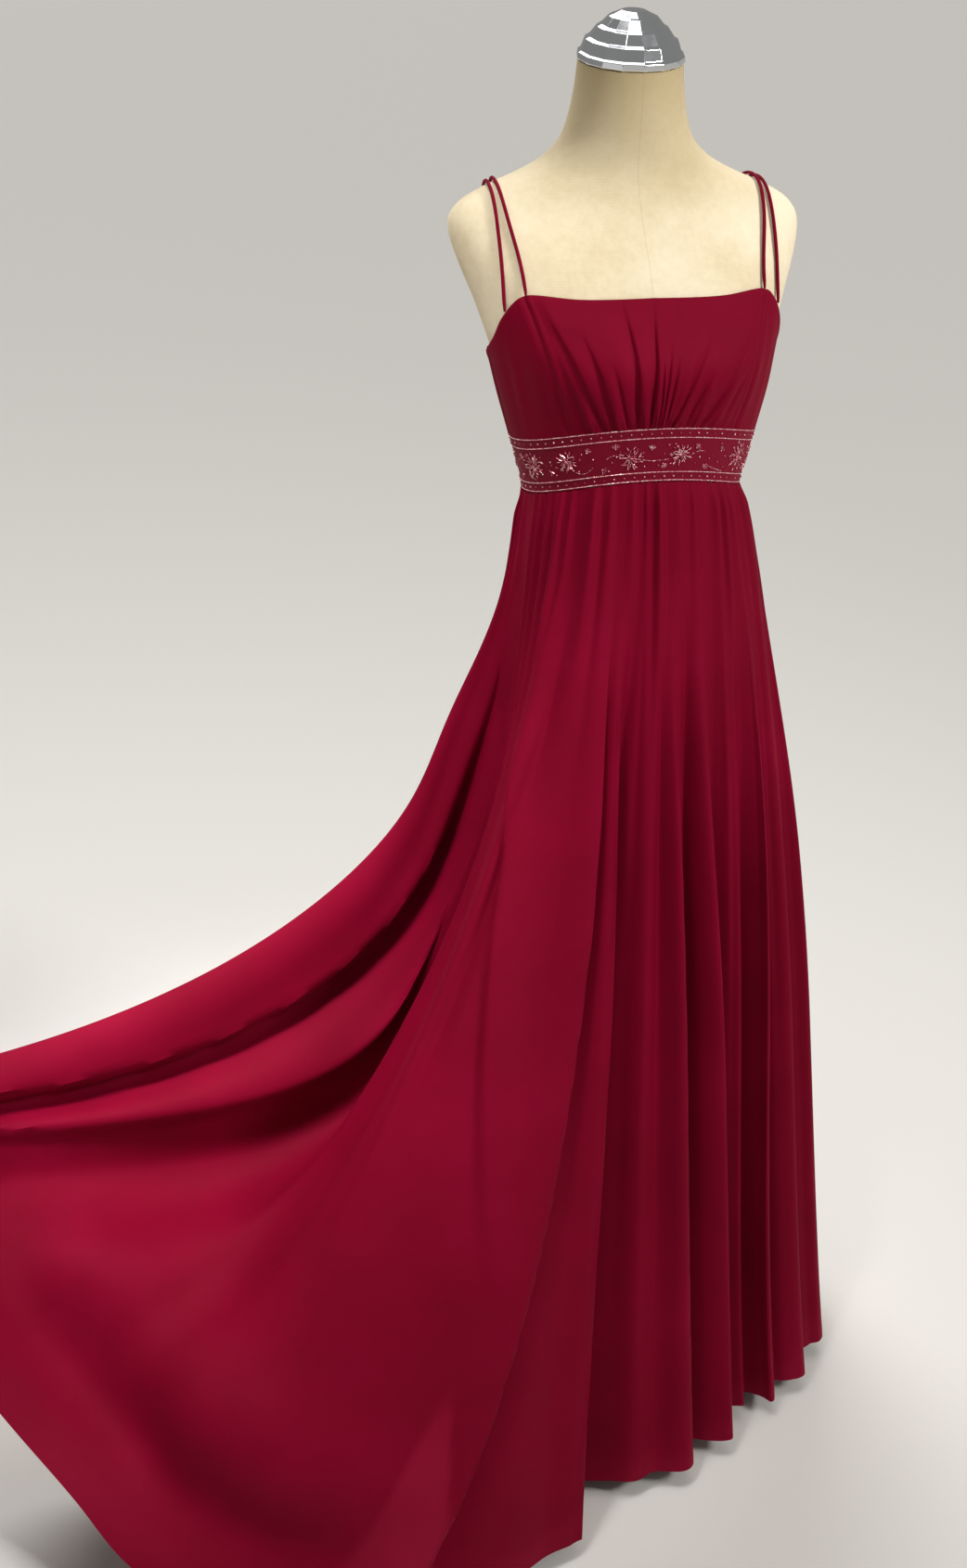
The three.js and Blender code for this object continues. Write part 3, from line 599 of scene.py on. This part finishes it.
def bead_string(v, step, low=-90, high=270):
    """The turns of beads that follow each other at equal steps round the band."""
    turns = np.arange(low, high, 0.5)
    path = band_point(turns, np.full_like(turns, v))
    run = np.concatenate([[0], np.cumsum(np.linalg.norm(np.diff(path, axis=0), axis=1))])
    return np.interp(np.arange(step / 2, run[-1], step), run, turns)


silver_bugles, rose_bugles, silver_seeds, rose_seeds = [], [], [], []
for v in (0.025, 0.19, 0.82, 0.975):
    for turn in bead_string(v, STRING_STEP):
        silver_bugles.append(bead_place(turn, v, bead_luck.normal(0, 0.05), BUGLE_RADIUS))
for v in (0.105, 0.9):
    for i, turn in enumerate(bead_string(v, SEED_STEP)):
        kind = silver_seeds if bead_luck.random() < 0.5 else rose_seeds
        kind.append(bead_place(turn, v, 0, SEED_RADIUS, 1.35 if i % 5 == 2 else 1))


def motif_place(turn, v, across, down, angle, radius, size=1.0):
    """A bead's place at a distance in mm from the middle of its motif."""
    return bead_place(turn + across / band_scale(turn), v + down / BAND_HEIGHT, angle, radius, size)


def flower(turn, v, radius, petals, silver_share):
    """Bugles in three loose rings round a cluster of seed beads."""
    for ring, (middle, size) in enumerate(((0.36, 0.75), (0.64, 0.85), (0.92, 0.8))):
        for i in range(petals):
            angle = (i + 0.5 * ring) * 2 * math.pi / petals + bead_luck.normal(0, 0.14)
            reach = radius * middle * (1 + bead_luck.normal(0, 0.08))
            kind = silver_bugles if bead_luck.random() < silver_share else rose_bugles
            x, y = reach * math.cos(angle), reach * math.sin(angle)
            lean = angle + bead_luck.normal(0, 0.3)
            kind.append(motif_place(turn, v, x, y, lean, BUGLE_RADIUS * (1 + 0.6 * ring), size))
    silver_seeds.append(motif_place(turn, v, 0, 0, 0, SEED_RADIUS, 1.5))
    for angle in np.arange(6) * math.pi / 3:
        x, y = HEART_RADIUS * math.cos(angle), HEART_RADIUS * math.sin(angle)
        rose_seeds.append(motif_place(turn, v, x, y, 0, SEED_RADIUS))


def sprig(turn, v, heading, leaves, silver_share):
    """A leaf: short bugles that fan out from a seed bead."""
    silver_seeds.append(motif_place(turn, v, 0, 0, 0, SEED_RADIUS))
    for i in range(leaves):
        angle = math.radians(heading) + (i - (leaves - 1) / 2) * 0.5
        kind = silver_bugles if bead_luck.random() < silver_share else rose_bugles
        x, y = LEAF_REACH * math.cos(angle), LEAF_REACH * math.sin(angle)
        kind.append(motif_place(turn, v, x, y, angle, BUGLE_RADIUS, 0.8))


def tendril(start, end, bow):
    """Bugles and seeds along an arc between two places of the band: `bow` is its sag in mm."""
    length = math.hypot((end[0] - start[0]) * band_scale(start[0]), (end[1] - start[1]) * BAND_HEIGHT)
    count = max(3, round(length / TENDRIL_STEP))
    for i in range(count):
        t = (i + 0.5) / count
        turn = start[0] + (end[0] - start[0]) * t
        v = start[1] + (end[1] - start[1]) * t + bow * 4 * t * (1 - t) / BAND_HEIGHT
        slope = math.atan2((end[1] - start[1]) * BAND_HEIGHT + bow * 4 * (1 - 2 * t), length)
        if i % 2:
            rose_seeds.append(bead_place(turn, v, 0, SEED_RADIUS, 0.9))
        else:
            silver_bugles.append(bead_place(turn, v, slope, BUGLE_RADIUS, 0.62))


FLOWERS = [  # turn, place down the band, radius in mm, petals, share of silver
    (-66, 0.5, 14.5, 16, 0.55), (-43, 0.48, 11, 12, 0.6), (-11.5, 0.54, 12, 13, 0.8),
    (11.2, 0.5, 11.5, 13, 0.8), (49, 0.5, 14.5, 16, 0.65), (74, 0.5, 10, 11, 0.6),
    (104, 0.5, 11, 12, 0.5), (135, 0.5, 12, 13, 0.5), (166, 0.5, 11, 12, 0.5),
    (194, 0.5, 11, 12, 0.5), (225, 0.5, 12, 13, 0.5), (256, 0.5, 11, 12, 0.5),
]
SPRIGS = [  # turn, place down the band, heading in degrees, leaves, share of silver
    (-75, 0.35, 200, 4, 0.3), (-53.5, 0.62, 60, 3, 0.3), (-32, 0.36, -60, 4, 0.15),
    (-25, 0.7, 30, 5, 0.15), (-18.5, 0.34, -90, 5, 0.1), (-2.5, 0.4, -80, 4, 0.8),
    (3.2, 0.66, 60, 4, 0.4), (19, 0.38, -40, 6, 0.2), (26.2, 0.68, 120, 5, 0.15),
    (34, 0.42, -60, 4, 0.2), (62, 0.64, 40, 4, 0.3), (89, 0.4, -50, 4, 0.3),
]
TENDRILS = [
    ((-40.5, 0.62), (-29, 0.62), 7), ((-23, 0.52), (-16, 0.5), -3), ((-6.5, 0.58), (6, 0.58), 1.5),
    ((27, 0.7), (38, 0.78), 1), ((17, 0.5), (24, 0.44), -2), ((57, 0.6), (70, 0.6), 3),
]
# Round the back, a pair of sprigs and a tendril stand between each two flowers
for turn in (120, 150, 180, 210, 240):
    SPRIGS += [(turn, 0.4, -60, 4, 0.3), (turn, 0.62, 60, 4, 0.3)]
    TENDRILS.append(((turn - 8, 0.5), (turn + 8, 0.5), 3))
for row in FLOWERS:
    flower(*row)
for row in SPRIGS:
    sprig(*row)
for row in TENDRILS:
    tendril(*row)
for i in range(LOOSE_SEEDS):
    turn, v = bead_luck.uniform(-88, 88), bead_luck.uniform(0.28, 0.74)
    kind = rose_seeds if i % 3 else silver_seeds
    kind.append(bead_place(turn, v, 0, SEED_RADIUS, bead_luck.uniform(0.8, 1.3)))

# Silver-lined glass: bright inside, tinted pink, each bead a little different.
silver_glass, tree, shader = new_material(
    "silver_lined_glass", Metallic=0.55, Roughness=0.25, Coat_Weight=0.8
)
place = node(tree, "ShaderNodeTexCoord").outputs["Object"]
mix = node(tree, "ShaderNodeTexNoise", Vector=place, Scale=260, Detail=1).outputs["Fac"]
cover = colour_ramp(tree, mix, [(0.35, "#e07a88"), (0.5, "#f4a6b0"), (0.68, "#ffe2de")])
tree.links.new(cover, shader.inputs["Base Color"])

# Rose glass: clear, wine coloured and glossy, each bead a little different.
rose_glass, tree, shader = new_material("rose_glass", Metallic=0.35, Roughness=0.16, Coat_Weight=0.8)
place = node(tree, "ShaderNodeTexCoord").outputs["Object"]
mix = node(tree, "ShaderNodeTexNoise", Vector=place, Scale=260, Detail=1).outputs["Fac"]
cover = colour_ramp(tree, mix, [(0.35, "#a02848"), (0.55, "#c85872"), (0.7, "#f09aa6")])
tree.links.new(cover, shader.inputs["Base Color"])


def strewn(name, bead, places, finish):
    """Copies of a bead at all its places, joined into one piece."""
    copies = []
    for place in places:
        copy = bpy.data.objects.new(name, bead.data)
        copy.matrix_world = place
        bpy.context.scene.collection.objects.link(copy)
        copies.append(copy)
    deselect()
    copies[0].data = bead.data.copy()
    for copy in copies:
        copy.select_set(True)
    bpy.context.view_layer.objects.active = copies[0]
    bpy.ops.object.join()
    return settle(bpy.context.object, name, finish, "waistband")


deselect()
bpy.ops.mesh.primitive_cylinder_add(
    vertices=6, radius=BUGLE_RADIUS * MM, depth=BUGLE_LENGTH * MM, rotation=(0, math.pi / 2, 0)
)
bugle = bpy.context.object
bpy.ops.object.transform_apply(rotation=True)
deselect()
bpy.ops.mesh.primitive_ico_sphere_add(subdivisions=2, radius=SEED_RADIUS * MM)
seed = bpy.context.object
bpy.ops.object.shade_smooth()
strewn("silver_bugles", bugle, silver_bugles, silver_glass)
strewn("rose_bugles", bugle, rose_bugles, rose_glass)
strewn("silver_seeds", seed, silver_seeds, silver_glass)
strewn("rose_seeds", seed, rose_seeds, rose_glass)
for used in (bugle, seed):
    bpy.data.objects.remove(used)

# Skirt
# Flared front and back panels in chiffon over a lining, gathered along the band, with side seams and
# a centre back seam. The front's right side is swept out and up, and falls from there in long folds.
HANG = table(("turn", "x", "y", "z", "out", "drop", "back", "up"), [
    (-90, -918, -80, 492, 26, 345, 575, 40), (-86.5, -915, -112, 476, 34, 400, 600, -66),
    (-83, -902, -150, 452, 40, 480, 640, -96), (-79, -875, -190, 418, 44, 560, 620, -112),
    (-75, -835, -225, 370, 46, 600, 540, -95), (-69, -735, -290, 255, 46, 604, 410, 45),
    (-60, -655, -362, 182, 46, 550, 293, 178), (-51, -597, -415, 130, 46, 470, 232, 250),
    (-42, -500, -448, 64, 45, 385, 147, 336), (-33, -385, -452, 32, 44, 345, 100, 350),
    (-24, -270, -420, 24, 42, 310, 72, 350), (-16, -178, -372, 24, 40, 290, 56, 340),
    (-9, -118, -312, 24, 38, 275, 48, 330), (-3, -72, -268, 24, 36, 265, 42, 330),
    (4, -25, -258, 24, 36, 260, 40, 330), (14, 38, -236, 24, 38, 255, 38, 330),
    (24, 78, -203, 24, 42, 250, 36, 330), (34, 102, -173, 24, 48, 245, 34, 330),
    (45, 135, -156, 24, 58, 245, 34, 330), (58, 182, -143, 24, 66, 245, 34, 330),
    (72, 222, -100, 24, 72, 245, 34, 330), (90, 258, -2, 24, 76, 245, 36, 330),
    (116, 250, 120, 24, 68, 250, 38, 330), (142, 165, 225, 24, 54, 260, 42, 330),
    (166, 50, 272, 24, 44, 270, 46, 330), (186, -70, 268, 24, 42, 280, 50, 330),
    (203, -190, 225, 24, 42, 300, 60, 340), (218, -310, 140, 24, 44, 330, 90, 330),
    (230, -430, 40, 26, 46, 380, 130, 290), (240, -560, -60, 45, 46, 450, 190, 220),
    (248, -670, -110, 95, 46, 520, 290, 120), (255, -745, -105, 170, 44, 560, 420, 10),
    (260, -815, -70, 290, 42, 560, 520, -60), (264, -875, -50, 400, 38, 500, 600, -90),
    (267, -908, -56, 462, 32, 410, 600, -50),
])
FOLDS = table(("turn", "hem", "out", "wide", "from", "fade"), [
    (-88.3, -88.3, 7, 1.1, 0.16, 0),
    (-57, -75, 15, 3.4, 0.14, 0),
    (-48, -66, -8, 4, 0.2, 0), (-36, -46, -12, 3.2, 0.1, 0.62), (-43, -34, 10, 4, 0.1, 0.62),
    (-14.5, -11.5, 20, 2.1, 0.12, 0), (-8.5, -6.6, -48, 2.7, 0.12, 0),
    (-1, 1.5, 12, 3, 0.15, 0), (6.5, 9.5, 20, 3.2, 0.12, 0), (13.5, 16, -26, 2.2, 0.12, 0),
    (19, 22, 26, 3, 0.15, 0), (27, 31, -20, 3, 0.12, 0), (37, 39, 12, 3, 0.15, 0),
    (43, 43, -12, 2.6, 0.15, 0), (49, 50, 18, 3, 0.12, 0), (55, 56, -12, 2.4, 0.12, 0),
    (62, 64, 12, 3.4, 0.12, 0), (69, 72, -12, 2.6, 0.15, 0), (76, 80, 16, 3.6, 0.15, 0),
    (88, 91, -16, 3.6, 0.2, 0), (99, 100, 20, 4.4, 0.15, 0), (110, 110, -22, 3.6, 0.15, 0),
    (121, 121, 24, 4.4, 0.15, 0), (133, 132, -22, 3.8, 0.15, 0), (145, 144, 22, 4.4, 0.15, 0),
    (156, 155, -20, 3.6, 0.15, 0), (167, 167, 24, 4.2, 0.15, 0), (178, 178, -22, 3.8, 0.15, 0),
    (190, 190, 24, 4.4, 0.15, 0), (202, 203, -24, 3.8, 0.15, 0), (214, 215, 22, 4.4, 0.15, 0),
    (226, 226, -18, 3.8, 0.15, 0), (236, 236, 16, 3.6, 0.15, 0), (245, 245, -16, 3, 0.15, 0),
    (252, 252, 14, 2.6, 0.15, 0), (258, 258, -12, 2, 0.15, 0), (262.6, 262.6, 12, 1.6, 0.16, 0),
    (266, 266, -8, 1.2, 0.16, 0), (268.3, 268.3, 7, 1.1, 0.16, 0),
])
# Folds that lap over: each side has its own half width, and the line bends away with a power of the
# share. They draw the swag's two lapped folds, the loose edge of the front and the folds by the pole.
LAPPED = table(("turn", "hem", "bend", "out", "before", "after", "from", "fade"), [
    (-82.3, -87.7, 1, -26, 0.3, 1.5, 0.1, 0), (-83.4, -88.3, 1, 9, 2.4, 0.6, 0.14, 0),
    (-70.2, -86.9, 1, 18, 3.0, 0.6, 0.14, 0), (-64.5, -82.9, 1, -36, 3.2, 5.0, 0.12, 0),
    (-34.6, -54.6, 1, 8, 4, 0.9, 0.1, 0.72), (-52, -14, 1, 10, 0.6, 5, -0.1, 0.75),
    (-17.5, -31.5, 4, 22, 6, 0.4, 0.12, 0), (-16.9, -30.6, 4, -9, 0.3, 2.4, 0.14, 0),
    (-13.6, -11.2, 1, 6, 0.35, 2, 0.14, 0), (6.2, 12.0, 1, 8, 2.5, 0.35, 0.14, 0),
    (48.9, 49.0, 1, 7, 0.35, 2.5, 0.14, 0), (74.8, 77.0, 1, 7, 0.4, 2.5, 0.14, 0),
])
# Soft creases that only the cloth's own weight draws, between the large folds
CREASES = table(("turn", "hem", "out", "wide", "from", "fade"), [
    (-74, -84.4, 3, 0.8, 0.16, 0.8), (-70, -80, -3, 1.4, 0.12, 0.7), (-61, -70, 3, 1.4, 0.1, 0.7),
    (-4.4, -2.6, -3, 1.0, 0.1, 1.0),
    (2.4, 5.2, -4, 1.2, 0.12, 0.9), (23.5, 25, -3, 1.0, 0.12, 1.0), (33, 35, 4, 1.4, 0.1, 0.8),
    (40, 41.5, -3, 1.0, 0.1, 0.8), (59, 60, -3, 1.2, 0.1, 0.8), (66, 68, 3, 1.2, 0.1, 0.9),
    (84, 86, 3, 1.3, 0.1, 1.0), (94, 95.5, -4, 1.3, 0.1, 0.8), (104.5, 105, -4, 1.2, 0.1, 1.0),
    (116, 115.6, 4, 1.4, 0.1, 0.8), (127, 127, -4, 1.3, 0.1, 1.0), (139, 138, 4, 1.3, 0.12, 0.9),
    (150.5, 150, -4, 1.2, 0.1, 0.8), (161, 161, 3, 1.2, 0.1, 1.0), (172, 172.4, -4, 1.3, 0.1, 0.8),
    (184.5, 184, -4, 1.2, 0.1, 1.0), (196, 196.4, 4, 1.2, 0.1, 0.8), (208.5, 209, 3, 1.4, 0.1, 1.0),
    (220, 220, -4, 1.4, 0.12, 0.8), (231, 231, 3, 1.2, 0.12, 1.0), (240.5, 240, -3, 1.1, 0.14, 0.8),
    (249, 249, 3, 1.0, 0.14, 1.0), (255, 255, -3, 0.9, 0.14, 0.8), (260.4, 260.6, 2, 0.7, 0.16, 0.9),
])
GATHERS_ROUND = 42
GATHER_OUT = 5.5
SKIRT_MIDDLE = 3.5  # the middle of the gathered cloth at the band, out from the form
HIP_CLEAR = 4
HIP_SWELL = 22  # how far the swag's upper edge leaves the hip
SKIRT_SEAM_TURN = 0.07
LINING_HEM = 0.962  # the share of the skirt's length where the lining ends
SLIT_TURN = -28
SLIT_SHARE = 0.19  # how far up the lining's slit reaches
FORM_BOTTOM = 790
hang_round = {
    column: np.concatenate([values[-2:], values, values[:3]]) for column, values in HANG.items()
}
hang_round["turn"][:2] -= 360
hang_round["turn"][-3:] += 360


def hang(turn, s):
    """The skirt before its folds: each hang line is a cubic curve from the band to the hem."""
    row = {column: along(hang_round, "turn", column, turn)[..., None] for column in hang_round}
    top = body_point(turn, band_bottom(turn) - SEAM - 0.5, SKIRT_MIDDLE, True)
    hem = np.concatenate([row["x"], row["y"], row["z"]], -1)
    angle = np.radians(turn)
    out = np.stack([np.sin(angle), -np.cos(angle), 0 * angle], -1)
    inward = (top - hem) * (1, 1, 0)
    inward /= np.linalg.norm(inward, axis=-1, keepdims=True)
    up = np.array([0, 0, 1.0])
    first = top + out * row["out"] - up * row["drop"]
    second = hem + inward * row["back"] + up * row["up"]
    s = s[..., None]
    return top * (1 - s) ** 3 + 3 * first * s * (1 - s) ** 2 + 3 * second * s * s * (1 - s) + hem * s**3


def strength(begin, fade, s):
    """How strong a fold is down its length: it grows from `begin`, and ends by `fade` if that is given."""
    lasting = ramp(begin - 0.04, 0.6, s)
    passing = ramp(begin, 0.35, s) * (1 - ramp(0.4, max(fade, 0.5), s))
    return passing if fade else lasting


def gathered(turn, s):
    """The gathers under the band: uneven, with finer ones between them that end sooner."""
    shifted = uneven(turn, 1.6)
    size = 0.8 + 0.35 * np.sin(np.radians(turn * 11 + 40)) + 0.2 * np.sin(np.radians(turn * 23 + 10))
    reach = 0.3 + 0.08 * np.sin(np.radians(turn * 13 + 80)) + 0.05 * np.sin(np.radians(turn * 29))
    gather = GATHER_OUT * size * (1 - np.cos(np.radians(shifted * GATHERS_ROUND))) / 2
    fine = 0.6 * np.sin(np.radians(shifted * GATHERS_ROUND * 2.0 + 60)) * (1 - ramp(0.01, 0.12, s))
    return (gather * (1 - ramp(0.02, reach, s)) + fine) * (0.35 + 0.65 * ramp(0, 0.03, s))


def hem_waves(turn, s):
    """The swept side's hem lifts and dips along its length, as cloth held at one corner does."""
    window = ramp(-86, -72, turn) * (1 - ramp(-40, -28, turn))
    return window * (15 * gauss(s, 0.845, 0.05) - 22 * gauss(s, 0.925, 0.035))


def fold_out(turn, s):
    """How far all folds, gathers and waves push the cloth out, in mm."""
    out = 0 * turn
    for folds in (FOLDS, CREASES):
        for at, hem, deep, wide, begin, fade in zip(*folds.values()):
            away = wrapped(turn - at - (hem - at) * s)
            out = out + deep * strength(begin, fade, s) * gauss(away, 0, wide)
    lifted = gauss(wrapped(turn + 90), 0, 26)
    out = out * (1 - 0.55 * lifted * ramp(0.7, 1, s))
    for at, hem, bend, deep, before, after, begin, fade in zip(*LAPPED.values()):
        away = wrapped(turn - at - (hem - at) * s**bend)
        grown = ramp(begin, begin + 0.3, s) * (1 - ramp(0.7, 1, s / fade) if fade else 1)
        flatter = 1 - 0.4 * lifted * ramp(0.85, 1, s)
        out = out + deep * grown * flatter * lopsided(away, 0, before, after)
    return out + gathered(turn, s) + hem_waves(turn, s)


def over_form(point):
    """Cloth that would sink into the form lies over it instead."""
    z = point[..., 2]
    off = SKIRT_MIDDLE + HIP_CLEAR * ramp(1110, 1010, z)
    back = along(FORM, "z", "back", z)
    in_x = point[..., 0] / (along(FORM, "z", "wide", z) + off)
    in_y = (point[..., 1] - back) / (along(FORM, "z", "deep", z) + off)
    share = np.where(z < FORM_BOTTOM - 20, 1, np.minimum(1, np.hypot(in_x, in_y)))
    return np.stack([point[..., 0] / share, back + (point[..., 1] - back) / share, z], -1)


def skirt(turn, s):
    """The skirt's cloth: s runs down from the band (0) to the hem (1)."""
    right = hang(turn + 1.2, s) - hang(turn - 1.2, s)
    down = hang(turn, np.minimum(s + 0.01, 1)) - hang(turn, np.maximum(s - 0.01, 0))
    normal = np.cross(down, right)
    normal /= np.linalg.norm(normal, axis=-1, keepdims=True)
    normal[..., 2] *= ramp(0, 0.08, s)
    hemmed = 0.35 * gauss(s, 0.992, 0.004)  # the narrow rolled hem is a little thicker
    hung = hang(turn, s) + normal * (fold_out(turn, s) + hemmed)[..., None]
    hung[..., 0] -= HIP_SWELL * gauss(s, 0.26, 0.12) * gauss(wrapped(turn + 90), 0, 8)
    return over_form(hung)


def unlined_part(turn, s):
    """The lining ends above the hem, higher at its slit on the right front, where its edge shows most."""
    slit = lopsided(turn, SLIT_TURN, 6, 1.3)
    lining_hem = LINING_HEM - SLIT_SHARE * slit + 0.008 * np.sin(np.radians(turn * 9))
    return (0.3 + 0.35 * slit) * ramp(0, 0.03, s - lining_hem)


def skirt_panel(name, low, high, columns, rows, replaced):
    low, high = low + SKIRT_SEAM_TURN, high - SKIRT_SEAM_TURN
    return cloth_panel(
        name,
        lambda u, v: skirt(low + (high - low) * u, v**1.1),
        columns, rows, chiffon, "chiffon", replaced,
        single=lambda u, v: unlined_part(low + (high - low) * u, v**1.1),
    )


# 480 columns keep the front under 200,000 triangles
skirt_front = skirt_panel("skirt_front_panel", -90, 90, 480, 100, "skirt_front")
skirt_backs = [
    skirt_panel("skirt_back_panel_left", 90, 180, 200, 110, "skirt_back_left"),
    skirt_panel("skirt_back_panel_right", 180, 270, 200, 110, "skirt_back_right"),
]

# Straps
# Four narrow rouleaux of the gown's cloth, cut on the bias and turned, two a side. They are sewn to the
# neckline, meet over the shoulder and run on to the back, pulled taut by the gown's weight.
STRAP_SEWN_IN = 2.6  # how far the ends go down behind the neckline
STRAP_END = 1.5


def strap_foot(strap, y):
    """The height of the strap's front or back end."""
    return min(v.co.z for v in strap.data.vertices if (v.co.y < 0) == (y < 0))


for side in ("right", "left"):
    for kind in ("inner", "outer"):
        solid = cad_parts[f"strap_{side}_{kind}"]
        deselect()
        solid.select_set(True)
        bpy.context.view_layer.objects.active = solid
        bpy.ops.object.duplicate()
        strap = bpy.context.object
        edit(strap)
        bpy.ops.mesh.remove_doubles(threshold=1e-5)
        bpy.ops.mesh.tris_convert_to_quads()
        bpy.ops.object.mode_set(mode="OBJECT")
        apply_modifier(strap, "SUBSURF", levels=2)
        bpy.ops.object.shade_smooth_by_angle(angle=math.radians(60))
        feet = {front: strap_foot(strap, -1 if front else 1) for front in (True, False)}
        ends = [v for v in strap.data.vertices if v.co.z < feet[v.co.y < 0] + STRAP_END * MM]
        for v in ends:
            v.co.z -= STRAP_SEWN_IN * MM
        settle(strap, f"{side}_{kind}_rouleau", chiffon, "strap", solid.name)

# Studio
# A plain pale floor that runs out of sight. A soft key light in front at the right, a narrow one above
# the swag, a weak fill, a wide panel overhead, and an even soft light from behind for the floor.
STUDIO_LIGHTS = [  # name, place, target, size, spread in degrees and power
    ("key_light", (2.3, -2.6, 3.2), (0.05, 0, 1.38), 1.0, 64, 15.5),
    ("sweep_light", (-0.8, -0.8, 3.0), (-0.5, 0.02, 0.74), 0.6, 26, 3.2),
    ("fill_light", (-3.2, -2.2, 1.6), (-0.2, 0, 0.8), 1.6, 180, 1),
    ("top_light", (-0.2, -0.6, 4.8), (-0.2, -0.1, 0), 3.0, 180, 46),
]
bpy.context.scene.view_settings.view_transform = "Standard"
deselect()
bpy.ops.mesh.primitive_plane_add(size=200)
floor = bpy.context.object
floor.name = "studio_floor"
# Matt painted floor: even and pale, without any pattern.
paint, tree, shader = new_material("pale_floor_paint", Roughness=0.9, Base_Color=linear("#ece9e3"))
floor.data.materials.append(paint)
for name, place, target, size, spread, power in STUDIO_LIGHTS:
    bpy.ops.object.light_add(type="AREA", location=place)
    lamp = bpy.context.object
    lamp.name = name
    lamp.data.shape = "DISK"
    lamp.data.size = size
    lamp.data.energy = power
    lamp.data.spread = math.radians(spread)
    lamp.rotation_euler = (Vector(target) - Vector(place)).to_track_quat("-Z", "Y").to_euler()
deselect()
BACK_LIGHT_TURN = (math.radians(-38), math.radians(-8), 0)
bpy.ops.object.light_add(type="SUN", location=(-1, 4, 5), rotation=BACK_LIGHT_TURN)
back_light = bpy.context.object
back_light.name = "back_light"
back_light.data.energy = 1.6
back_light.data.angle = math.radians(40)
world = bpy.data.worlds.new("studio_air")
world.use_nodes = True
world.node_tree.nodes["Background"].inputs["Color"].default_value = linear("#f2f0ec")
world.node_tree.nodes["Background"].inputs["Strength"].default_value = 0.28
bpy.context.scene.world = world
